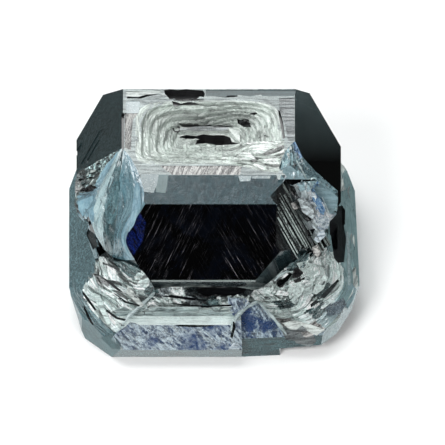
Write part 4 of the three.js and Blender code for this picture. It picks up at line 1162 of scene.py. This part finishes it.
# Growth plates: slabs side by side across the front right corner, with ends of their own;
# the recess floor and two sides of each slab are painted near black, as painted shade in the gaps.
def growthPlates():
    down = facing(frontRight, dodecahedral + 90)
    out = facing(frontRight, dodecahedral)
    side = np.cross(out, down)
    turn = np.radians(plates["turn"])
    down, side = down * np.cos(turn) - side * np.sin(turn), side * np.cos(turn) + down * np.sin(turn)
    crest = facing(frontRight, upright) * plates["reach"] + upward * topHeight
    deep = plates["floorDepth"]
    recess = box("plateRecess", crest, down, side, out, (-4, -4, 0), (4, 4, deep), "plateFloor")
    keep = prismSolid("plateSide", plates["edge"], axisFoot, eastward, upward, northward,
                      -8, 0, "plateFloor")
    recess = combined("plateRecess", recess, [(keep, "INTERSECT")])
    dice = np.random.default_rng(plates["seed"])
    edges = np.concatenate([np.linspace(start, end, count, endpoint=False)
                            for start, end, count in plates["sets"]])
    spacing = np.concatenate([np.full(count, (end - start) / count)
                              for start, end, count in plates["sets"]])
    made = []
    for middle, room in zip(edges + dice.uniform(-0.1, 0.1, len(edges)) * spacing, spacing):
        wide = room * dice.uniform(0.25, 0.6)
        start = max(0.55 - 1.0 * middle, 0.12) + dice.uniform(0.1, 0.6)
        start = max(start, 0.75 - 1.41 * middle, 0.25)
        end = 3.1 + 0.25 * np.sin(3 * middle) - max(middle - 0.6, 0) * 1.2 + dice.uniform(-0.25, 0.15)
        proud = dice.uniform(*plates["proud"])
        low, high = middle - wide / 2, middle + wide / 2
        outline = [(start, low), (end, low), (end, high), (start, high)]
        sides = ["plateFloor", "plate", "plateFloor", "plate"]
        made.append(prismSolid("plate", outline, crest, down, side, out, -plates["root"], proud, sides,
                               floor="plate", shade=dice.uniform(0.4, 1.4)))
    return recess, made


# Joins or cuts solids in turn and keeps the result as a new solid.
def combined(name, base, steps):
    for tool, operation in steps:
        cut = base.modifiers.new(tool.name, "BOOLEAN")
        cut.solver = "MANIFOLD"
        cut.operation = operation
        cut.object = tool
    ready = base.evaluated_get(bpy.context.evaluated_depsgraph_get())
    mesh = bpy.data.meshes.new_from_object(ready)
    for used in [base] + [tool for tool, operation in steps]:
        bpy.data.objects.remove(used)
    mesh.name = name
    made = bpy.data.objects.new(name, mesh)
    bpy.context.scene.collection.objects.link(made)
    return made


# A sculpted place takes away what stands over its skin and fills what lies under it.
def netSteps(nets, outer, inner):
    steps = []
    for name, net in nets.items():
        skin, looked, shades, flow = netSkin(net)
        steps.append((skinSolid(name + "Over", skin, looked, shades, flow, net["core"], outer),
                      "DIFFERENCE"))
        steps.append((skinSolid(name + "Under", skin, looked, shades, flow, net["core"], inner), "UNION"))
    return steps


# The hollows of one place as cuts, each with a seed of its own.
def pitSteps(place, seed):
    return [(pitCutter(f"{place}Pit{k}", pit, seed + k), "DIFFERENCE") for k, pit in enumerate(pits[place])]


# The whole crystal: the block with its cuts, then the skirt with its own, then both joined,
# with the flakes and ridges on and the last hollows out, inside the frame's box.
def crystalSolid():
    recess, slabs = growthPlates()
    upper = combined("block", facetSolid("block", block["faces"]),
                     [(hopperCutter(), "DIFFERENCE"),
                      (prismSolid("bar", hopper["bar"], axisFoot, eastward, northward, upward,
                                  hopper["barFoot"], hopper["barTop"], "riser", floor="greyHatch"),
                                  "UNION"),
                      # The slot on the hollow's floor is painted near black, as painted shade.
                      (prismSolid("slot", hopper["slot"], axisFoot, eastward, northward, upward,
                                  hopper["slotFoot"], hopper["slotTop"], "pit"), "DIFFERENCE"),
                      (ringGroove(*hopper["ring"]), "DIFFERENCE")]
                     + [(patchCutter(f"patch{k}", patch), "DIFFERENCE") for k, patch in enumerate(patches)]
                     + pitSteps("top", 40)
                     + [(recess, "DIFFERENCE")]
                     + [(slab, "UNION") for slab in slabs]
                     + netSteps(blockNets, 1.5, 0.4))
    print("block cut:", len(upper.data.polygons), "faces")
    along = facing(right + setback["turn"], upright)
    inward = facing(back + setback["turn"], upright)
    missing = prismSolid("setback", setback["outline"], along * setback["start"], inward, upward, along, 0,
                         setback["length"], setback["looks"])
    chipAlong = facing(right, upright - chip["tilt"])
    chipAcross = facing(back, upright)
    chipPlace = np.array([chip["x"], chip["y"], chip["z"]])
    chipHalf = np.array([chip["wide"], chip["long"], chip["high"]]) / 2
    corner = box("chip", chipPlace, chipAlong, chipAcross, np.cross(chipAlong, chipAcross),
                 -chipHalf, chipHalf, "polished")
    wedge = prismSolid("wedge", setback["wedge"], axisFoot, northward, upward, eastward,
                       *setback["wedgeEnds"], ["blueFacet", "rimLow", "rimLow", "rimLow", "blueFacet"])
    lower = combined("skirt", skirtTerraces(),
                     [(facetSolid("skirtFacets", skirt["faces"]), "INTERSECT"), (missing, "DIFFERENCE"),
                      (wedge, "UNION")]
                     + netSteps(skirtNets, 1.4, 0.5)
                     + [(facetSolid("skirtSides", skirt["faces"][:1] + skirt["faces"][2:]), "INTERSECT"),
                        (corner, "DIFFERENCE")]
                     + [(shelf, "DIFFERENCE") for shelf in shelfCutters()]
                     + pitSteps("skirt", 80))
    print("skirt cut:", len(lower.data.polygons), "faces")
    low, high = (np.array(corner) / millimetre - axisPlace for corner in cadBox)
    hair = 0.00001
    limits = box("limits", axisFoot, eastward, northward, upward,
                 low + (hair, hair, -1), high - hair, "topPlane")
    late = pitSteps("corner", 120)
    late += [(lower, "UNION")]
    late += [(ridgeSolid(f"ridge{k}", *ridge), "UNION") for k, ridge in enumerate(sights["ridges"])]
    late += [(sightSolid(f"flake{k}", flake), "UNION") for k, flake in enumerate(sights["flakes"])]
    late += [(sightSolid(f"hollow{k}", hollow), "DIFFERENCE") for k, hollow in enumerate(sights["hollows"])]
    return combined("diamondCrystal", upper, late + [(limits, "INTERSECT")])


crystal = crystalSolid()
triangles = sum(len(face.vertices) - 2 for face in crystal.data.polygons)
print("crystal joined:", len(crystal.data.polygons), "faces,", triangles, "triangles")
crystal.data.transform(Matrix.Translation(Vector(axisPlace * millimetre)) @ Matrix.Scale(millimetre, 4))


# Writes each face's look into attributes that the material reads, and on each corner the
# place in the grain: along it, across it and out of it. On the terraces the grain runs
# round the contours, so the angle and the share of the contour's reach stand for the first two.
def paintLooks(mesh):
    faces = len(mesh.polygons)
    kind, shade = np.empty(faces, np.float32), np.empty(faces, np.float32)
    mesh.attributes["look"].data.foreach_get("value", kind)
    mesh.attributes["shade"].data.foreach_get("value", shade)
    kind = np.rint(kind).astype(int)
    ordered = [looks[name] for name in lookNames]
    for key in ("share", "clear", "rough", "relief", "cracks", "cloud", "scratch", "shadeFade", "bite"):
        layer = mesh.attributes.new(key, "FLOAT", "FACE")
        layer.data.foreach_set("value", np.array([look[key] for look in ordered])[kind])
    sizes, owners = np.empty(faces, np.int32), np.empty(len(mesh.loops), np.int32)
    mesh.polygons.foreach_get("loop_total", sizes)
    mesh.loops.foreach_get("vertex_index", owners)
    places = np.empty(len(mesh.vertices) * 3, np.float32)
    mesh.vertices.foreach_get("co", places)
    places = places.reshape(-1, 3)[owners] / millimetre - axisPlace
    kinds = np.repeat(kind, sizes)
    shades = np.repeat(shade, sizes)
    for key in ("tint", "fleck"):
        colours = np.clip(np.array([look[key] for look in ordered])[kinds] * shades[:, None], 0, 1)
        layer = mesh.attributes.new(key, "FLOAT_COLOR", "CORNER")
        opaque = np.column_stack([colours, np.ones(len(colours))])
        layer.data.foreach_set("color", opaque.astype(np.float32).ravel())
    ways = np.array([look["along"] for look in ordered], float)
    ways /= np.linalg.norm(ways, axis=1)[:, None]
    across = np.cross(ways, (0.31, 0.13, 0.94))
    across /= np.linalg.norm(across, axis=1)[:, None]
    grain = np.stack([(places * axes[kinds]).sum(1) for axes in (ways, across, np.cross(ways, across))], -1)
    angles = np.arctan2(places[:, 1], places[:, 0])
    reach = np.hypot(places[:, 0], places[:, 1]) / skirtReach(angles, 0.5)
    wound = np.column_stack([((angles + 1.5 * np.pi) % (2 * np.pi)) * 4.5, reach * 4.7, places[:, 2]])
    ofSkirt = np.isin(kinds, [lookNames.index("skirtTread"), lookNames.index("skirtRiser")])
    grain[ofSkirt] = wound[ofSkirt]
    flat = places[:, :2] - np.array(hopper["centre"])
    angles = np.arctan2(flat[:, 1], flat[:, 0])
    reach = np.hypot(flat[:, 0], flat[:, 1]) / hopperReach(angles, 0.4)
    wound = np.column_stack([angles * 1.6, reach * 1.6, places[:, 2]])
    ofHopper = np.isin(kinds, [lookNames.index("tread"), lookNames.index("riser")])
    grain[ofHopper] = wound[ofHopper]
    flow = np.empty(len(mesh.loops) * 3, np.float32)
    mesh.attributes["flow"].data.foreach_get("vector", flow)
    flow = flow.reshape(-1, 3)
    flowing = flow[:, 2] > 1
    grain[flowing] = flow[flowing]
    grain[:, 0] *= np.array([look["fine"] for look in ordered])[kinds]
    layer = mesh.attributes.new("grain", "FLOAT_VECTOR", "CORNER")
    layer.data.foreach_set("vector", grain.astype(np.float32).ravel())


paintLooks(crystal.data)


# Adds a node, sets its own settings and its inputs, and gives it back.
def addNode(tree, kind, inputs=None, **settings):
    node = tree.nodes.new("ShaderNode" + kind)
    for key, value in settings.items():
        setattr(node, key, value)
    for key, value in (inputs or {}).items():
        if isinstance(value, bpy.types.NodeSocket):
            tree.links.new(value, node.inputs[key])
        else:
            node.inputs[key].default_value = value
    return node


# A face's or corner's own value, read back in the material.
def attribute(tree, name, output="Fac"):
    return addNode(tree, "Attribute", attribute_name=name).outputs[output]


# One sum on up to three values.
def math(tree, operation, first, second=0.0, third=0.0, clamp=False):
    return addNode(tree, "Math", {0: first, 1: second, 2: third}, operation=operation,
                   use_clamp=clamp).outputs[0]


# A noise's value at a place.
def noise(tree, place, size, detail, rough=0.5, warp=0.0):
    return addNode(tree, "TexNoise", {"Vector": place, "Scale": size, "Detail": detail, "Roughness": rough,
                                      "Distortion": warp}).outputs[0]


# Brings a value from one span to another and keeps it there.
def ranged(tree, value, span, target=(0.0, 1.0), **settings):
    return addNode(tree, "MapRange", {"Value": value, "From Min": span[0], "From Max": span[1],
                                      "To Min": target[0], "To Max": target[1]}, **settings).outputs[0]


# Goes from one colour to another by a share.
def mixed(tree, share, first, second):
    return addNode(tree, "Mix", {0: share, 6: first, 7: second}, data_type="RGBA").outputs[2]


crystalLook = {
    "absorption": (0.50, 0.61, 0.65, 1),
    "density": 1500.0,
    "ior": 2.417,
    "grainSize": (0.8, 11.0, 11.0),
    # Where the painted shade fade begins and ends, along the rise up and back.
    "fadeFrom": 4.55,
    "fadeTo": 7.6,
    "scratchTurn": (0.53, -0.45),
    "scratchColour": (0.88, 0.84, 0.92, 1),
    "cloudSize": 0.9,
    "cloudColour": (0.01, 0.045, 0.15, 1),
}


# Thin bright lines: a noise drawn out along one turned direction, kept where it is high.
def scratchLines(tree, face, turn, seed):
    turned = addNode(tree, "Mapping", {"Vector": face, "Location": (seed, seed * 0.7, 0),
                                       "Rotation": (0, 0, turn), "Scale": (0.02, 1.3, 1.0)},
                     vector_type="TEXTURE").outputs[0]
    lines = noise(tree, turned, 1.0, 3.0, 0.8)
    return ranged(tree, lines, (0.6, 0.74))


# The one material: every look is made from the values that the faces and corners carry.
def crystalMaterial():
    made = bpy.data.materials.new("diamondCrystal")
    made.use_nodes = True
    tree = made.node_tree
    tree.nodes.clear()
    # Places in millimetres, and the grain's own places, drawn out along it.
    place = addNode(tree, "VectorMath", {0: addNode(tree, "TexCoord").outputs["Object"], "Scale": 1000.0},
                    operation="SCALE").outputs[0]
    grain = addNode(tree, "Mapping", {"Vector": attribute(tree, "grain", "Vector"),
                                      "Scale": crystalLook["grainSize"]}).outputs[0]
    # Streaks and speckles choose between each face's two colours.
    streak = noise(tree, grain, 1.0, 4.0, 0.7)
    speckle = noise(tree, place, 15.0, 4.0, 0.75)
    both = math(tree, "ADD", math(tree, "MULTIPLY", streak, 0.6), math(tree, "MULTIPLY", speckle, 0.4))
    spread = math(tree, "MULTIPLY_ADD", math(tree, "SUBTRACT", both, 0.5), attribute(tree, "bite"),
                  attribute(tree, "share"), clamp=True)
    colour = mixed(tree, spread, attribute(tree, "tint", "Color"), attribute(tree, "fleck", "Color"))
    # Cracks, where a broad noise goes through its middle.
    shifted = addNode(tree, "Mapping", {"Vector": grain, "Location": (3.1, 7.7, 1.9),
                                        "Scale": (0.6, 0.45, 0.45)}).outputs[0]
    broad = noise(tree, shifted, 1.0, 5.0, 0.6, 0.4)
    ridge = math(tree, "ABSOLUTE", math(tree, "SUBTRACT", broad, 0.5))
    crack = ranged(tree, ridge, (0.0, 0.03), (1.0, 0.0))
    crack = math(tree, "MULTIPLY", crack, attribute(tree, "cracks"))
    colour = mixed(tree, crack, colour, (0.02, 0.022, 0.025, 1))
    # A light mottle all over, and blue clouds where the look has them.
    cloud = noise(tree, place, crystalLook["cloudSize"], 4.0, 0.65, 0.6)
    mottle = ranged(tree, cloud, (0.3, 0.7), (0.82, 1.15))
    colour = addNode(tree, "VectorMath", {0: colour, "Scale": mottle}, operation="SCALE").outputs[0]
    cloud = ranged(tree, cloud, (0.45, 0.68), interpolation_type="SMOOTHSTEP")
    cloud = math(tree, "MULTIPLY", math(tree, "MULTIPLY", cloud, attribute(tree, "cloud")),
                 math(tree, "MULTIPLY_ADD", speckle, 1.5, 0.1), clamp=True)
    colour = mixed(tree, cloud, colour, crystalLook["cloudColour"])
    # Grain as relief, and a roughness that goes with the speckles.
    height = math(tree, "SUBTRACT", both, math(tree, "MULTIPLY", crack, 0.6))
    bump = addNode(tree, "Bump", {"Strength": attribute(tree, "relief"), "Distance": 0.00004,
                                  "Height": height}).outputs[0]
    rough = math(tree, "MULTIPLY_ADD", math(tree, "SUBTRACT", speckle, 0.5), 0.25,
                 attribute(tree, "rough"), clamp=True)
    clear = attribute(tree, "clear")
    # Bright scratches in patches, with a direction of their own on each side.
    face = addNode(tree, "Mapping", {"Vector": place, "Rotation": (np.radians(-octahedral), 0, 0)},
                   vector_type="POINT").outputs[0]
    fans = [scratchLines(tree, face, turn, seed) for seed, turn in enumerate(crystalLook["scratchTurn"])]
    sides = ranged(tree, addNode(tree, "SeparateXYZ", {0: place}).outputs[0], (-0.9, 0.5),
                   interpolation_type="SMOOTHSTEP")
    scratch = addNode(tree, "Mix", {0: sides, 2: fans[1], 3: fans[0]}, data_type="FLOAT").outputs[0]
    patchy = ranged(tree, noise(tree, place, 1.3, 2.0), (0.4, 0.62), (0.15, 1.0))
    scratch = math(tree, "MULTIPLY", math(tree, "MULTIPLY", scratch, patchy), attribute(tree, "scratch"))
    colour = mixed(tree, scratch, colour, crystalLook["scratchColour"])
    clear = math(tree, "SUBTRACT", clear, math(tree, "MULTIPLY", scratch, 0.6), clamp=True)
    # Painted shade: a fade to dark downwards and to the front, where the look has a shade fade.
    climb = addNode(tree, "VectorMath", {0: place, 1: (0, 1, 1)}, operation="DOT_PRODUCT").outputs["Value"]
    dusk = ranged(tree, climb, (crystalLook["fadeFrom"], crystalLook["fadeTo"]), (1.0, 0.0))
    dusk = math(tree, "SUBTRACT", 1.0, math(tree, "MULTIPLY", dusk, attribute(tree, "shadeFade")))
    colour = addNode(tree, "VectorMath", {0: colour, "Scale": dusk}, operation="SCALE").outputs[0]
    body = addNode(tree, "BsdfPrincipled", {"Base Color": colour, "Roughness": rough,
                                            "IOR": crystalLook["ior"],
                                            "Transmission Weight": clear, "Normal": bump})
    depth = addNode(tree, "VolumeAbsorption", {"Color": crystalLook["absorption"],
                                               "Density": crystalLook["density"]})
    addNode(tree, "OutputMaterial", {"Surface": body.outputs[0], "Volume": depth.outputs[0]})
    return made


crystal.data.materials.clear()
crystal.data.materials.append(crystalMaterial())
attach(crystal, "root")
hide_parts("diamond_crystal")
print("crystal finished")

stage = {
    "floorSize": 0.4,
    "frameWidth": 14.685 * millimetre,
    "aim": (0.2725, 0.7084, 1.0),
    "elevation": 45,
    "distance": 0.06,
    "keyPower": 0.045,
    "fillPower": 0.06,
}


# A pale matt floor that isn't mirrored in the crystal and isn't seen through it.
def floorPlane():
    mesh = bpy.data.meshes.new("floor")
    half = stage["floorSize"] / 2
    mesh.from_pydata([(-half, -half, 0), (half, -half, 0), (half, half, 0), (-half, half, 0)], [],
                     [(0, 1, 2, 3)])
    made = bpy.data.objects.new("floor", mesh)
    bpy.context.scene.collection.objects.link(made)
    paint = bpy.data.materials.new("paleFloor")
    paint.use_nodes = True
    shader = paint.node_tree.nodes["Principled BSDF"]
    shader.inputs["Base Color"].default_value = (0.97, 0.97, 0.97, 1)
    shader.inputs["Roughness"].default_value = 0.9
    shader.inputs["Specular IOR Level"].default_value = 0.0
    mesh.materials.append(paint)
    made.visible_glossy = False
    made.visible_transmission = False


# Soft studio light: brightness by direction. Above, it rises towards the back and fades to
# dark in front and on the right; the horizon is dim, and the light below is that of a pale table.
def studioWorld():
    world = bpy.data.worlds.new("studio")
    bpy.context.scene.world = world
    world.use_nodes = True
    tree = world.node_tree
    tree.nodes.clear()
    parts = addNode(tree, "SeparateXYZ", {0: addNode(tree, "TexCoord").outputs["Generated"]}).outputs
    above = ranged(tree, parts[2], (-0.1, 0.75), (0.12, 1.2), interpolation_type="SMOOTHSTEP")
    towardsBack = ranged(tree, parts[1], (-0.5, 0.65), (0.015, 1.0), interpolation_type="SMOOTHSTEP")
    towardsLeft = ranged(tree, parts[0], (0.65, -0.4), (0.12, 1.0))
    below = ranged(tree, parts[2], (-0.35, -0.75), (0.0, 1.0), interpolation_type="SMOOTHSTEP")
    level = math(tree, "ADD", math(tree, "MULTIPLY", math(tree, "MULTIPLY", above, towardsBack),
                                   towardsLeft), below)
    glow = addNode(tree, "Background", {"Color": (0.95, 1.0, 1.0, 1), "Strength": level})
    addNode(tree, "OutputWorld", {"Surface": glow.outputs[0]})


# A round lamp that looks at the crystal's foot; only some lamps are mirrored in its faces.
def studioLight(name, place, size, power, mirrored=True):
    lamp = bpy.data.lights.new(name, "AREA")
    lamp.energy = power
    lamp.shape = "DISK"
    lamp.size = size
    made = bpy.data.objects.new(name, lamp)
    bpy.context.scene.collection.objects.link(made)
    made.location = place
    made.visible_glossy = mirrored
    made.rotation_euler = (-Vector(place)).to_track_quat("-Z", "Y").to_euler()


# The camera: no perspective, straight in front, as many degrees up as the elevation says.
def studioCamera():
    lens = bpy.data.cameras.new("camera")
    lens.type = "ORTHO"
    lens.ortho_scale = stage["frameWidth"]
    made = bpy.data.objects.new("camera", lens)
    bpy.context.scene.collection.objects.link(made)
    towards = Vector((0, np.cos(np.radians(stage["elevation"])), -np.sin(np.radians(stage["elevation"]))))
    made.location = Vector(stage["aim"]) * millimetre - towards * stage["distance"]
    made.rotation_euler = towards.to_track_quat("-Z", "Y").to_euler()
    lens.clip_start = 0.001
    lens.clip_end = 1.0
    bpy.context.scene.camera = made


floorPlane()
studioWorld()
studioLight("key", (-0.02, 0.03, 0.08), 0.08, stage["keyPower"])
studioLight("fill", (-0.045, -0.06, 0.06), 0.05, stage["fillPower"], False)
studioLight("sideFill", (0.055, -0.055, 0.06), 0.05, stage["fillPower"] * 0.6, False)
studioCamera()
bpy.context.scene.view_settings.view_transform = "Standard"
print("stage set")
